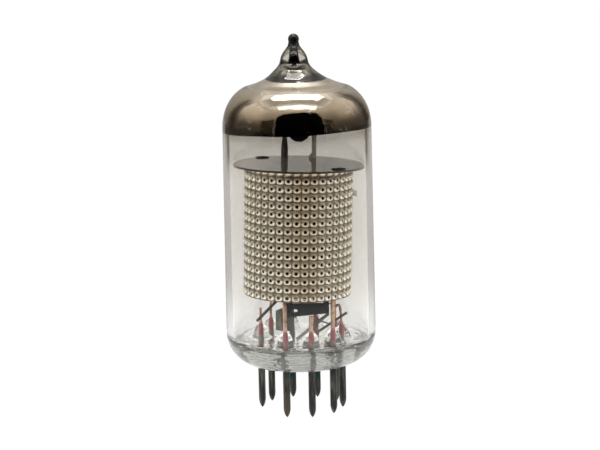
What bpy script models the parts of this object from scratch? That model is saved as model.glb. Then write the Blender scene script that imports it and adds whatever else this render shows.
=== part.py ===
"""Nine-pin all-glass miniature vacuum tube with a perforated inner shield, in metres, +Z up.

The pin tips stand on z = 0, the tube's axis is Z and the front faces -Y. Angles round the axis
run from the front towards +X.
"""

from math import cos, pi, radians, sin

import bmesh
import bpy
from mathutils import Matrix, Vector

MM = 0.001

# Nine-pin base: ten even places on a circle, one of them left empty.
PIN_COUNT = 9
PIN_CIRCLE = 5.945 * MM
PIN_PITCH = radians(36)
FIRST_PIN = radians(-22.4)
PIN_RADIUS = 0.508 * MM
PIN_POINT = 1.45 * MM
PIN_SUNK = 0.8 * MM
SEAL_RADIUS = 0.27 * MM
LEAD_RADIUS = 0.3 * MM
THIN_LEAD_RADIUS = 0.2 * MM
THIN_LEADS = (4, 8, 9)
FIT = 0.05 * MM

# Glass: the bulb with its drawn-out tip, and the pressed button stem that closes it.
OVERALL_HEIGHT = 55.0 * MM
SEAT_HEIGHT = 7.0 * MM
WALL = 0.9 * MM
BEAD_RADIUS = 0.79 * MM
SHOULDER_HEIGHT = 41.8 * MM
SHOULDER_CENTRE = 5.5 * MM
BULB_TOP_RADIUS = 10.73 * MM
BULB_BASE_RADIUS = 10.92 * MM
SHOULDER_RISE = 6.13 * MM
SHOULDER_SWEEP = 66
SKIRT_CENTRE = 6.4 * MM
SKIRT_DEPTH = 4.8 * MM
SKIRT_SWEEP = -63
STEM_RADIUS = 8.4 * MM
STEM_TOP = 10.5 * MM
FLOOR_RADIUS = 9.2 * MM
CORNER_RISE = 0.8 * MM
MOUND_TOP = 12.6 * MM
MOUND_TOP_RADIUS = 0.7 * MM
MOUND_FOOT_RADIUS = 1.2 * MM
SEAL_TOP = 12.8 * MM
TIP_BORE_TOP = 53.5 * MM
FILM_EDGE = 41.4 * MM
FILM_THICKNESS = 0.06 * MM
FILM_GAP = 0.03 * MM
GLASS_STEPS = 24

# Mica spacers.
MICA_THICKNESS = 0.3 * MM
MICA_SIDES = 36
TOP_MICA_RADIUS = 9.52 * MM
TOP_MICA_HEIGHT = 35.9 * MM
BOTTOM_MICA_RADIUS = 7.55 * MM
BOTTOM_MICA_HEIGHT = 18.0 * MM

# Perforated shield: a sheet with rows of collars pushed outwards, rolled into a cylinder.
SHIELD_RADIUS = 7.78 * MM
SHIELD_BOTTOM = 17.5 * MM
SHIELD_SHEET = 0.15 * MM
SHIELD_COLUMNS = 40
SHIELD_ROWS = 15
SHIELD_PITCH = 1.2 * MM
SHIELD_TOP_BAND = 0.35 * MM
COLLAR_HOLE = 0.5 * MM
COLLAR_HEIGHT = 0.32 * MM
SHIELD_TURN = radians(2.8)
TAB_ANGLE = radians(42)
TAB_WIDTH = 1.5 * MM
TAB_SHEET = 0.12 * MM
TAB_REACH = 8.6 * MM

# Electrodes, from the cathode outwards. Each grid is an ellipse wound round two side rods.
CATHODE_RADIUS = 0.5 * MM
CATHODE_WALL = 0.12 * MM
CATHODE_BOTTOM = 16.6 * MM
CATHODE_TOP = 36.15 * MM
HEATER_RADIUS = 0.12 * MM
HEATER_SPREAD = 0.17 * MM
ROD_TOP = 36.15 * MM
ROD_BOTTOM = 16.9 * MM
GRID_WIRE_RADIUS = 0.08 * MM
GRID_TURNS = 9
GRID_BOTTOM = 19.6 * MM
GRID_TOP = 34.6 * MM
GRIDS = {
    "control_grid": {"rod_place": 0.95 * MM, "rod_radius": 0.30 * MM, "depth": 0.95 * MM},
    "screen_grid": {"rod_place": 2.05 * MM, "rod_radius": 0.35 * MM, "depth": 1.75 * MM},
    "suppressor_grid": {"rod_place": 3.20 * MM, "rod_radius": 0.35 * MM, "depth": 2.65 * MM},
}
ANODE_HALF_WIDTH = 4.9 * MM
ANODE_HALF_DEPTH = 3.95 * MM
ANODE_SHEET = 0.3 * MM
LUG_WIDTH = 1.0 * MM
LUG_SHEET = 0.2 * MM

# Getter: a cup on two posts that stand behind the axis.
CUP_PLACE = Vector((0.6, 4.9)) * MM
CUP_RADIUS = 1.65 * MM
CUP_BOTTOM = 38.8 * MM
CUP_RIM = 40.9 * MM
CUP_FLANGE = 2.55 * MM
CUP_SHEET = 0.15 * MM
POST_SHEET = 0.2 * MM
POST_DEPTH = 6.85 * MM
POST_FOOT = 33.5 * MM
POST_REACH = 1.4 * MM
POSTS = {
    "getter_post_left": {"place": -1.72 * MM, "width": 0.8 * MM},
    "getter_post_right": {"place": 2.28 * MM, "width": 0.7 * MM},
}

# Pieces under the shield.
STRAP_SHEET = 0.3 * MM
STRAP_DEPTH = -5.28 * MM
STRAP_LEFT = -2.0 * MM
STRAP_RIGHT = 4.0 * MM
STRAP_TOP = 16.8 * MM
STRAP_BOTTOM = 15.0 * MM
EAR_WIDTH = 0.8 * MM
EAR_TOP = 19.0 * MM
PLATE_SHEET = 0.25 * MM
PLATE_DEPTH = -5.0 * MM
JUMPER_RADIUS = 0.22 * MM
TIE_RADIUS = 0.17 * MM
RIBBON_WIDTH = 0.5 * MM
RIBBON_SHEET = 0.15 * MM

ROUND_SIDES = 8
SMALL_MERGE = 1e-7


# Scene, collections and finishes

for old in list(bpy.data.objects):
    bpy.data.objects.remove(old, do_unlink=True)

tube_parts = bpy.data.collections.new("vacuum_tube")
cutters = bpy.data.collections.new("cutters")
bpy.context.scene.collection.children.link(tube_parts)
bpy.context.scene.collection.children.link(cutters)

tube = bpy.data.objects.new("tube_axis", None)
tube_parts.objects.link(tube)


def finish(name, colour, roughness, metallic=0.0, transmission=0.0):
    """A Principled material of one plain finish."""
    made = bpy.data.materials.new(name)
    made.use_nodes = True
    shader = made.node_tree.nodes["Principled BSDF"]
    shader.inputs["Base Color"].default_value = (*colour, 1)
    shader.inputs["Roughness"].default_value = roughness
    shader.inputs["Metallic"].default_value = metallic
    shader.inputs["Transmission Weight"].default_value = transmission
    return made


CLEAR_GLASS = finish("clear_glass", (0.93, 0.94, 0.93), 0.02, transmission=1.0)
MIRROR_FILM = finish("mirror_film", (0.55, 0.50, 0.44), 0.08, metallic=1.0)
DARK_OXIDE = finish("dark_oxide", (0.06, 0.06, 0.055), 0.5, metallic=0.7)
SEAL_RED = finish("seal_red", (0.32, 0.06, 0.09), 0.35, metallic=0.4)
COPPER_TAN = finish("copper_tan", (0.60, 0.38, 0.24), 0.4, metallic=0.8)
MICA = finish("mica", (0.62, 0.60, 0.58), 0.15, transmission=0.4)
DULL_NICKEL = finish("dull_nickel", (0.58, 0.55, 0.47), 0.45, metallic=0.9)
BRIGHT_NICKEL = finish("bright_nickel", (0.66, 0.60, 0.50), 0.3, metallic=1.0)
BLACK_COAT = finish("black_coat", (0.015, 0.015, 0.018), 0.6, metallic=0.2)
GREY_SHEET = finish("grey_sheet", (0.16, 0.17, 0.15), 0.5, metallic=0.6)
BROWN_WIRE = finish("brown_wire", (0.09, 0.06, 0.045), 0.5, metallic=0.5)
OXIDE_WHITE = finish("oxide_white", (0.80, 0.79, 0.76), 0.8)


# Modelling helpers


def around(radius, angle, height):
    """The point at an angle from the front round the tube's axis."""
    return Vector((radius * sin(angle), -radius * cos(angle), height))


def pin_place(number, height=0.0):
    return around(PIN_CIRCLE, FIRST_PIN + PIN_PITCH * (number - 1), height)


def arc(centre, radii, start, end, steps):
    """(radius, height) points on an ellipse, from start to end degrees."""
    angles = [radians(start + (end - start) * i / steps) for i in range(steps + 1)]
    return [(centre[0] + radii[0] * cos(a), centre[1] + radii[1] * sin(a)) for a in angles]


def outline(*points):
    """(radius, height) points given in millimetres."""
    return [(radius * MM, height * MM) for radius, height in points]


def shifted(profile, distance):
    """The profile moved sideways by a distance, to the left of the way it runs."""
    moved = []
    for i, point in enumerate(profile):
        ahead = Vector(profile[min(i + 1, len(profile) - 1)])
        behind = Vector(profile[max(i - 1, 0)])
        along = (ahead - behind).normalized()
        moved.append((point[0] - along.y * distance, point[1] + along.x * distance))
    return moved


def add(name, data, material, location=(0, 0, 0), rotation=(0, 0, 0)):
    """A named part of the tube, in its collection and on its axis."""
    thing = bpy.data.objects.new(name, data)
    thing.location = location
    thing.rotation_euler = rotation
    thing.parent = tube
    if not data.materials:
        data.materials.append(material)
    tube_parts.objects.link(thing)
    return thing


def turned(name, profile, material, steps, closed=False):
    """A profile of (radius, height) points, run down its outer side, turned about the axis."""
    count = len(profile)
    links = [(i, i + 1) for i in range(count - 1)]
    if closed:
        links.append((count - 1, 0))
    mesh = bpy.data.meshes.new(name)
    mesh.from_pydata([(r, 0, z) for r, z in profile], links, [])
    thing = add(name, mesh, material)
    screw = thing.modifiers.new("Turn", "SCREW")
    screw.steps = steps
    screw.render_steps = steps
    screw.use_merge_vertices = True
    screw.merge_threshold = SMALL_MERGE
    screw.use_smooth_shade = True
    return thing


def plain_mesh(thing):
    """The evaluated shape of an object as a mesh of its own; the object itself is removed."""
    bpy.context.view_layer.update()
    graph = bpy.context.evaluated_depsgraph_get()
    mesh = bpy.data.meshes.new_from_object(thing.evaluated_get(graph))
    shape = bmesh.new()
    shape.from_mesh(mesh)
    bmesh.ops.remove_doubles(shape, verts=shape.verts, dist=SMALL_MERGE)
    shape.to_mesh(mesh)
    shape.free()
    mesh.shade_smooth()
    mesh.set_sharp_from_angle(angle=radians(40))
    bpy.data.objects.remove(thing, do_unlink=True)
    return mesh


def helper(name, mesh):
    """A cutter or other operand, kept out of the tube itself."""
    thing = bpy.data.objects.new(name, mesh)
    thing.parent = tube
    thing.hide_render = True
    thing.display_type = "WIRE"
    cutters.objects.link(thing)
    return thing


def ring_at_pins(name, mesh):
    """One operand that repeats a mesh at every pin."""
    ring = bmesh.new()
    for number in range(1, PIN_COUNT + 1):
        before = len(ring.verts)
        ring.from_mesh(mesh)
        ring.verts.ensure_lookup_table()
        bmesh.ops.translate(ring, verts=ring.verts[before:], vec=pin_place(number))
    joined = bpy.data.meshes.new(name)
    ring.to_mesh(joined)
    ring.free()
    return helper(name, joined)


def combine(thing, operand, operation):
    step = thing.modifiers.new(operand.name, "BOOLEAN")
    step.operation = operation
    step.object = operand
    step.solver = "EXACT"


def wire(name, points, radius, material, sides=2):
    """A round wire along straight runs between the points."""
    data = bpy.data.curves.new(name, "CURVE")
    data.dimensions = "3D"
    data.bevel_depth = radius
    data.bevel_resolution = sides
    data.use_fill_caps = True
    run = data.splines.new("POLY")
    run.points.add(len(points) - 1)
    for place, point in zip(run.points, points):
        place.co = (*point, 1)
    return add(name, data, material)


def rod(name, radius, bottom, top, place, material):
    """A plain straight round rod that stands at a place."""
    shape = bmesh.new()
    bmesh.ops.create_cone(
        shape, cap_ends=True, segments=ROUND_SIDES, radius1=radius, radius2=radius, depth=top - bottom
    )
    mesh = bpy.data.meshes.new(name)
    shape.to_mesh(mesh)
    shape.free()
    mesh.shade_smooth()
    mesh.set_sharp_from_angle(angle=radians(50))
    return add(name, mesh, material, location=(place[0], place[1], (bottom + top) / 2))


def ribbon(name, path, width, thickness, material):
    """A flat strip that bends along a path; width is the vector across it."""
    half = Vector(width) / 2
    edge_points = [Vector(p) + side for p in path for side in (-half, half)]
    strips = [(2 * i, 2 * i + 2, 2 * i + 3, 2 * i + 1) for i in range(len(path) - 1)]
    mesh = bpy.data.meshes.new(name)
    mesh.from_pydata(edge_points, [], strips)
    thing = add(name, mesh, material)
    thicken(thing, thickness)
    return thing


def thicken(thing, thickness):
    sheet = thing.modifiers.new("Sheet", "SOLIDIFY")
    sheet.thickness = thickness
    sheet.offset = 0
    sheet.use_even_offset = True


def flat(name, outlines, thickness, material, **placing):
    """Closed outlines filled flat, the first with the others as holes in it, and given a thickness."""
    data = bpy.data.curves.new(name, "CURVE")
    data.dimensions = "2D"
    data.fill_mode = "BOTH"
    data.extrude = thickness / 2
    for outline in outlines:
        run = data.splines.new("POLY")
        run.points.add(len(outline) - 1)
        for place, point in zip(run.points, outline):
            place.co = (*point, 0, 1)
        run.use_cyclic_u = True
    return add(name, data, material, **placing)


# Glass bulb: bead, neck, flare, shoulder, straight wall, skirt, and back up inside

bead_centre = OVERALL_HEIGHT - BEAD_RADIUS
bead = arc((0, bead_centre), (BEAD_RADIUS, BEAD_RADIUS), 90, -25, 4)
shoulder = arc(
    (SHOULDER_CENTRE, SHOULDER_HEIGHT),
    (BULB_TOP_RADIUS - SHOULDER_CENTRE, SHOULDER_RISE),
    SHOULDER_SWEEP,
    0,
    5,
)
neck = outline((0.86, 53.3), (1.11, 52.93), (1.53, 52.38), (1.83, 51.83), (1.98, 51.29), (2.13, 50.74))
flare = outline((2.5, 50.2), (3.06, 49.65), (3.74, 49.1), (4.65, 48.56), (6.07, 47.93))
skirt_centre = (SKIRT_CENTRE, SEAT_HEIGHT + SKIRT_DEPTH)
skirt_radii = (BULB_BASE_RADIUS - SKIRT_CENTRE, SKIRT_DEPTH)
skirt = arc(skirt_centre, skirt_radii, 0, SKIRT_SWEEP, 4)
lip = STEM_RADIUS + FIT
corner = arc(
    (FLOOR_RADIUS, STEM_TOP + CORNER_RISE), (BULB_BASE_RADIUS - WALL - FLOOR_RADIUS, CORNER_RISE), -90, 0, 3
)
inner_shoulder = arc(
    (SHOULDER_CENTRE, SHOULDER_HEIGHT),
    (BULB_TOP_RADIUS - WALL - SHOULDER_CENTRE, SHOULDER_RISE - WALL),
    0,
    SHOULDER_SWEEP,
    3,
)
inner_flare = outline((5.67, 47.12), (3.23, 48.36), (1.83, 49.62))
tip_bore = [*outline((0.75, 50.95), (0.38, 51.6), (0.28, 52.6)), (0, TIP_BORE_TOP)]
outer_side = [*bead, *neck, *flare, *shoulder, *skirt, (lip, skirt[-1][1])]
inner_side = [(lip, STEM_TOP), *corner, *inner_shoulder, *inner_flare, *tip_bore]
turned("glass_bulb", outer_side + inner_side, CLEAR_GLASS, GLASS_STEPS)


# Getter film: the mirror deposit that lines the dome, down to a level edge

lining = [(BULB_TOP_RADIUS - WALL, FILM_EDGE), *inner_shoulder, *inner_flare]
film_back = shifted(lining, FILM_GAP)
film_face = shifted(lining, FILM_GAP + FILM_THICKNESS)
turned("getter_film", film_back[::-1] + film_face, MIRROR_FILM, GLASS_STEPS, closed=True)


# Glass stem: the button with a mound round each wire and a stepped bore through each mound

stem_corner = arc(skirt_centre, skirt_radii, SKIRT_SWEEP, -90, 3)
stem_profile = [(0, STEM_TOP), (STEM_RADIUS, STEM_TOP), (STEM_RADIUS, stem_corner[0][1])]
stem_profile += [*stem_corner[1:], (0, SEAT_HEIGHT)]
stem = turned("glass_stem", stem_profile, CLEAR_GLASS, GLASS_STEPS)
mound_profile = [
    (0, MOUND_TOP),
    (MOUND_TOP_RADIUS, MOUND_TOP),
    (MOUND_FOOT_RADIUS * 0.7, (MOUND_TOP + STEM_TOP) / 2),
    (MOUND_FOOT_RADIUS, STEM_TOP + 0.2 * MM),
    (MOUND_FOOT_RADIUS, STEM_TOP - 0.4 * MM),
    (0, STEM_TOP - 0.4 * MM),
]
sunk_top = SEAT_HEIGHT + PIN_SUNK
bore_profile = [
    (0, MOUND_TOP + 1 * MM),
    (SEAL_RADIUS + FIT, MOUND_TOP + 1 * MM),
    (SEAL_RADIUS + FIT, sunk_top + FIT),
    (PIN_RADIUS + FIT, sunk_top + FIT),
    (PIN_RADIUS + FIT, SEAT_HEIGHT - 1 * MM),
    (0, SEAT_HEIGHT - 1 * MM),
]
mound = plain_mesh(turned("mound", mound_profile, CLEAR_GLASS, ROUND_SIDES))
bore = plain_mesh(turned("bore", bore_profile, CLEAR_GLASS, ROUND_SIDES))
combine(stem, ring_at_pins("mounds", mound), "UNION")
combine(stem, ring_at_pins("bores", bore), "DIFFERENCE")


# Base pins, seal wires and inner lead wires, one of each at every place

pin_profile = [
    (0, sunk_top),
    (PIN_RADIUS, sunk_top),
    (PIN_RADIUS, PIN_POINT),
    (PIN_RADIUS * 0.8, PIN_POINT * 0.5),
    (PIN_RADIUS * 0.45, PIN_POINT * 0.18),
    (0, 0),
]
pin_mesh = plain_mesh(turned("pin", pin_profile, DARK_OXIDE, ROUND_SIDES))
for number in range(1, PIN_COUNT + 1):
    add(f"base_pin_{number}", pin_mesh, DARK_OXIDE, location=pin_place(number))
    rod(f"seal_wire_{number}", SEAL_RADIUS, sunk_top + FIT, SEAL_TOP, pin_place(number), SEAL_RED)

lead_bottom = SEAL_TOP + FIT
LEAD_ENDS = {
    1: [pin_place(1, 16.7 * MM), Vector((-2.2, -4.9, 17.1)) * MM, Vector((-2.1, -0.45, 17.1)) * MM],
    2: [pin_place(2, 15.0 * MM)],
    3: [pin_place(3, 17.6 * MM)],
    4: [
        Vector((5.8, -0.46, 15.0)) * MM,
        Vector((5.55, -0.5, 15.4)) * MM,
        Vector((4.7, -0.65, 14.9)) * MM,
    ],
    5: [pin_place(5, 15.6 * MM)],
    6: [pin_place(6, 15.6 * MM), Vector((0.6, 4.65, 16.8)) * MM, Vector((-0.3, 4.62, 16.9)) * MM],
    7: [pin_place(7, 15.9 * MM), Vector((-1.62, 6.8, 17.3)) * MM, Vector((-1.62, 6.85, 17.8)) * MM],
    8: [pin_place(8, 15.0 * MM), Vector((-3.45, 1.0, 17.1)) * MM, Vector((-3.3, 0.66, 17.3)) * MM],
    9: [pin_place(9, 15.0 * MM)],
}
for number, ends in LEAD_ENDS.items():
    radius = THIN_LEAD_RADIUS if number in THIN_LEADS else LEAD_RADIUS
    wire(f"lead_wire_{number}", [pin_place(number, lead_bottom), *ends], radius, COPPER_TAN)


# Mica spacers, punched for the electrodes and for what passes through them


def punch(name, rounds, slots, height):
    """One operand with every round hole (x, y, radius) and slot (x, y, length, width, angle) of a mica."""
    shape = bmesh.new()
    depth = MICA_THICKNESS * 3
    middle = height + MICA_THICKNESS / 2
    for x, y, radius in rounds:
        bmesh.ops.create_cone(
            shape,
            cap_ends=True,
            segments=ROUND_SIDES,
            radius1=radius,
            radius2=radius,
            depth=depth,
            matrix=Matrix.Translation((x, y, middle)),
        )
    for x, y, length, width, angle in slots:
        place = Matrix.Translation((x, y, middle)) @ Matrix.Rotation(angle, 4, "Z")
        size = Matrix.Diagonal((length, width, depth, 1))
        bmesh.ops.create_cube(shape, size=1, matrix=place @ size)
    mesh = bpy.data.meshes.new(name)
    shape.to_mesh(mesh)
    shape.free()
    return helper(name, mesh)


def mica(name, radius, height, cutter):
    shape = bmesh.new()
    bmesh.ops.create_cone(
        shape, cap_ends=True, segments=MICA_SIDES, radius1=radius, radius2=radius, depth=MICA_THICKNESS
    )
    mesh = bpy.data.meshes.new(name)
    shape.to_mesh(mesh)
    shape.free()
    disc = add(name, mesh, MICA, location=(0, 0, height + MICA_THICKNESS / 2))
    combine(disc, cutter, "DIFFERENCE")


electrode_holes = [(0, 0, CATHODE_RADIUS + FIT)]
for grid in GRIDS.values():
    for side in (-1, 1):
        electrode_holes.append((side * grid["rod_place"], 0, grid["rod_radius"] + FIT))

shield_inside = SHIELD_RADIUS - SHIELD_SHEET
tab_line = shield_inside - FIT - TAB_SHEET / 2
top_slots = []
for angle in (TAB_ANGLE, TAB_ANGLE + pi):
    x, y, _ = around(tab_line, angle, 0)
    top_slots.append((x, y, TAB_WIDTH + 2 * FIT, TAB_SHEET + 2 * FIT, angle))
for post in POSTS.values():
    top_slots.append((post["place"], POST_DEPTH, post["width"] + 2 * FIT, POST_SHEET + 2 * FIT, 0))

ear_places = (STRAP_LEFT + EAR_WIDTH / 2, STRAP_RIGHT - EAR_WIDTH / 2)
lug_depth = ANODE_HALF_DEPTH + FIT + LUG_SHEET / 2
bottom_slots = [(0, lug_depth, LUG_WIDTH + 2 * FIT, LUG_SHEET + 2 * FIT, 0)]
for x in ear_places:
    bottom_slots.append((x, STRAP_DEPTH, EAR_WIDTH + 2 * FIT, STRAP_SHEET + 2 * FIT, 0))

top_punch = punch("top_mica_holes", electrode_holes, top_slots, TOP_MICA_HEIGHT)
bottom_punch = punch("bottom_mica_holes", electrode_holes, bottom_slots, BOTTOM_MICA_HEIGHT)
mica("top_mica", TOP_MICA_RADIUS, TOP_MICA_HEIGHT, top_punch)
mica("bottom_mica", BOTTOM_MICA_RADIUS, BOTTOM_MICA_HEIGHT, bottom_punch)
mica_top = TOP_MICA_HEIGHT + MICA_THICKNESS
cage_bottom = BOTTOM_MICA_HEIGHT + MICA_THICKNESS


# Perforated shield: a flat blank, embossed cell by cell, then rolled up and welded at the back


def embossed_skin(blank, level, rise):
    """One skin of the blank: a grid of cells, each pushed up by a rise to the rim of an open hole."""
    before = set(blank.faces)
    made = bmesh.ops.create_grid(
        blank,
        x_segments=SHIELD_COLUMNS,
        y_segments=SHIELD_ROWS,
        size=0.5,
        matrix=Matrix.Translation((0, 0, level)),
    )
    stretch = Vector((2 * pi * SHIELD_RADIUS, SHIELD_ROWS * SHIELD_PITCH, 1))
    bmesh.ops.scale(blank, vec=stretch, verts=made["verts"])
    cells = [face for face in blank.faces if face not in before]
    margin = (SHIELD_PITCH - COLLAR_HOLE) / 2
    bmesh.ops.inset_individual(blank, faces=cells, thickness=margin, depth=rise, use_even_offset=True)
    bmesh.ops.delete(blank, geom=cells, context="FACES_ONLY")
    return [face for face in blank.faces if face not in before]


blank = bmesh.new()
embossed_skin(blank, 0, COLLAR_HEIGHT)
back_skin = embossed_skin(blank, -SHIELD_SHEET, COLLAR_HEIGHT + SHIELD_SHEET)
bmesh.ops.reverse_faces(blank, faces=back_skin)
half_height = SHIELD_ROWS * SHIELD_PITCH / 2
for point in blank.verts:
    height = point.co.y + half_height
    if height > 2 * half_height - SMALL_MERGE:
        height += SHIELD_TOP_BAND
    point.co = around(SHIELD_RADIUS + point.co.z, point.co.x / SHIELD_RADIUS, height)
bmesh.ops.remove_doubles(blank, verts=blank.verts, dist=1e-6)
for level in (0, 2 * half_height + SHIELD_TOP_BAND):
    rim = [e for e in blank.edges if e.is_boundary and abs(e.verts[0].co.z - level) < SMALL_MERGE]
    bmesh.ops.bridge_loops(blank, edges=rim)
bmesh.ops.recalc_face_normals(blank, faces=blank.faces)
shield_mesh = bpy.data.meshes.new("perforated_shield")
blank.to_mesh(shield_mesh)
blank.free()
add(
    "perforated_shield",
    shield_mesh,
    DULL_NICKEL,
    location=(0, 0, SHIELD_BOTTOM),
    rotation=(0, 0, SHIELD_TURN),
)

for name, angle in (("shield_tab_front", TAB_ANGLE), ("shield_tab_rear", TAB_ANGLE + pi)):
    fold = mica_top + FIT + TAB_SHEET / 2
    path = [
        around(tab_line, angle, TOP_MICA_HEIGHT - 1.4 * MM),
        around(tab_line, angle, fold),
        around(TAB_REACH, angle, fold),
    ]
    across = Vector((cos(angle), sin(angle), 0)) * TAB_WIDTH
    ribbon(name, path, across, TAB_SHEET, BLACK_COAT)


# Cathode and heater

cathode_bore = CATHODE_RADIUS - CATHODE_WALL
cathode_profile = [
    (CATHODE_RADIUS, CATHODE_TOP),
    (CATHODE_RADIUS, CATHODE_BOTTOM),
    (cathode_bore, CATHODE_BOTTOM),
    (cathode_bore, CATHODE_TOP),
]
turned("cathode_sleeve", cathode_profile, DULL_NICKEL, 12, closed=True)

heater_fold = CATHODE_TOP - 1.5 * MM
heater_path = [
    Vector((5.62, -0.85, 12.95)) * MM,
    Vector((5.2, -1.85, 12.5)) * MM,
    Vector((2.75, -1.75, 13.4)) * MM,
    Vector((HEATER_SPREAD, 0, CATHODE_BOTTOM - 0.6 * MM)),
    Vector((HEATER_SPREAD, 0, heater_fold)),
    Vector((-HEATER_SPREAD, 0, heater_fold)),
    Vector((-HEATER_SPREAD, 0, CATHODE_BOTTOM - 0.4 * MM)),
    Vector((1.0, 1.5, 15.2)) * MM,
    Vector((4.78, 2.68, 14.9)) * MM,
]
wire("heater", heater_path, HEATER_RADIUS, OXIDE_WHITE, sides=1)
wire(
    "heater_tie",
    [Vector((2.4, -1.4, 13.1)) * MM, Vector((2.46, -1.35, 11.4)) * MM, Vector((6.72, -0.98, 14.35)) * MM],
    TIE_RADIUS,
    BROWN_WIRE,
)


# Grids: two side rods each, with one unbroken winding round both


def winding_path(half_width, half_depth):
    """Points of an elliptical helix, twelve to a turn."""
    per_turn = 12
    count = GRID_TURNS * per_turn
    rise = (GRID_TOP - GRID_BOTTOM) / count
    return [
        Vector(
            (
                half_width * cos(2 * pi * i / per_turn),
                half_depth * sin(2 * pi * i / per_turn),
                GRID_BOTTOM + rise * i,
            )
        )
        for i in range(count + 1)
    ]


def least_gap(path, radius):
    """The smallest clear distance between points of the wire that lie over half a turn apart."""
    apart = 6
    pairs = ((a, b) for i, a in enumerate(path) for b in path[i + apart + 1 :])
    return min((a - b).length for a, b in pairs) - 2 * radius


for name, grid in GRIDS.items():
    for side, sign in (("left", -1), ("right", 1)):
        place = (sign * grid["rod_place"], 0)
        rod(f"{name}_rod_{side}", grid["rod_radius"], ROD_BOTTOM, ROD_TOP, place, BRIGHT_NICKEL)
    half_width = grid["rod_place"] + grid["rod_radius"] + GRID_WIRE_RADIUS + 2 * FIT
    path = winding_path(half_width, grid["depth"])
    wire(f"{name}_winding", path, GRID_WIRE_RADIUS, BRIGHT_NICKEL, sides=0)
    print(f"{name}_winding least gap {least_gap(path, GRID_WIRE_RADIUS) / MM:.2f} mm")

wire(
    "control_grid_jumper",
    [Vector((-1.5, -0.12, 16.4)) * MM, Vector((-3.2, -0.12, 16.4)) * MM, Vector((-6.45, -0.12, 13.15)) * MM],
    JUMPER_RADIUS,
    BROWN_WIRE,
)


# Anode: an oval sheet that stands between the micas, with a lug through the lower one


def oval(half_width, half_depth, count=24):
    angles = [2 * pi * i / count for i in range(count)]
    return [(half_width * cos(a), half_depth * sin(a)) for a in angles]


anode_height = TOP_MICA_HEIGHT - cage_bottom - 2 * FIT
flat(
    "anode",
    [
        oval(ANODE_HALF_WIDTH, ANODE_HALF_DEPTH),
        oval(ANODE_HALF_WIDTH - ANODE_SHEET, ANODE_HALF_DEPTH - ANODE_SHEET),
    ],
    anode_height,
    BLACK_COAT,
    location=(0, 0, cage_bottom + FIT + anode_height / 2),
)
ribbon(
    "anode_lug",
    [Vector((0, lug_depth, 16.2 * MM)), Vector((0, lug_depth, 20.5 * MM))],
    (LUG_WIDTH, 0, 0),
    LUG_SHEET,
    BLACK_COAT,
)


# Getter cup and its two posts, whose tops bend forwards under the cup's flange

bowl = arc((0, CUP_BOTTOM + CUP_RADIUS), (CUP_RADIUS, CUP_RADIUS), 0, -90, 4)
bowl_inside = CUP_RADIUS - CUP_SHEET
hollow = arc((0, CUP_BOTTOM + CUP_RADIUS), (bowl_inside, bowl_inside), -90, 0, 4)
cup_profile = [
    (CUP_FLANGE, CUP_RIM),
    (CUP_FLANGE, CUP_RIM - CUP_SHEET),
    (CUP_RADIUS, CUP_RIM - CUP_SHEET),
    *bowl,
    *hollow[1:],
    (bowl_inside, CUP_RIM),
]
cup = turned("getter_cup", cup_profile, BLACK_COAT, 16, closed=True)
cup.location = (*CUP_PLACE, 0)

post_bend = CUP_RIM - CUP_SHEET - FIT - POST_SHEET / 2
for name, post in POSTS.items():
    path = [
        Vector((post["place"], POST_DEPTH, POST_FOOT)),
        Vector((post["place"], POST_DEPTH, post_bend)),
        Vector((post["place"], POST_DEPTH - POST_REACH, post_bend)),
    ]
    material = BLACK_COAT if name == "getter_post_left" else BRIGHT_NICKEL
    ribbon(name, path, (post["width"], 0, 0), POST_SHEET, material)


# Shield strap: a black bar with an oval hole, hung on two ears through the bottom mica

strap_outline = [
    (STRAP_LEFT, STRAP_BOTTOM - 0.2 * MM),
    (STRAP_RIGHT, STRAP_BOTTOM + 0.3 * MM),
    (STRAP_RIGHT, EAR_TOP),
    (STRAP_RIGHT - EAR_WIDTH, EAR_TOP),
    (STRAP_RIGHT - EAR_WIDTH, STRAP_TOP),
    (STRAP_LEFT + EAR_WIDTH, STRAP_TOP),
    (STRAP_LEFT + EAR_WIDTH, EAR_TOP),
    (STRAP_LEFT, EAR_TOP),
]
strap_hole = [(x - 0.85 * MM, z + 15.75 * MM) for x, z in oval(0.45 * MM, 0.25 * MM, 8)]
flat(
    "shield_strap",
    [strap_outline, strap_hole],
    STRAP_SHEET,
    BLACK_COAT,
    location=(0, STRAP_DEPTH, 0),
    rotation=(pi / 2, 0, 0),
)


# Base plate: a grey sheet folded back along its left side, drawn to a point at its lower right

plate = bpy.data.meshes.new("base_plate")
fold_x = -2.7 * MM
plate_points = [
    Vector((fold_x, PLATE_DEPTH, 16.1 * MM)),
    Vector((-0.95 * MM, PLATE_DEPTH, 16.1 * MM)),
    Vector((-0.95 * MM, PLATE_DEPTH, 10.9 * MM)),
    Vector((-1.7 * MM, PLATE_DEPTH, 12.75 * MM)),
    Vector((fold_x, PLATE_DEPTH, 12.75 * MM)),
    Vector((-3.5 * MM, PLATE_DEPTH + 0.8 * MM, 12.75 * MM)),
    Vector((-3.5 * MM, PLATE_DEPTH + 0.8 * MM, 15.6 * MM)),
]
plate.from_pydata(plate_points, [], [(0, 4, 3, 2, 1), (0, 6, 5, 4)])
thicken(add("base_plate", plate, GREY_SHEET), PLATE_SHEET)


# Cathode ribbon: a thin strip that slants from the third lead wire down towards the stem

ribbon(
    "cathode_ribbon",
    [Vector((4.0, -3.55, 14.85)) * MM, Vector((2.3, -3.2, 13.4)) * MM, Vector((-0.7, -2.8, 10.9)) * MM],
    Vector((0.15, 0.25, -0.4)).normalized() * RIBBON_WIDTH,
    RIBBON_SHEET,
    BROWN_WIRE,
)
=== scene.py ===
from math import cos, pi, radians, sin

import bmesh
import bpy
import numpy as np
from mathutils import Matrix, Vector


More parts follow.
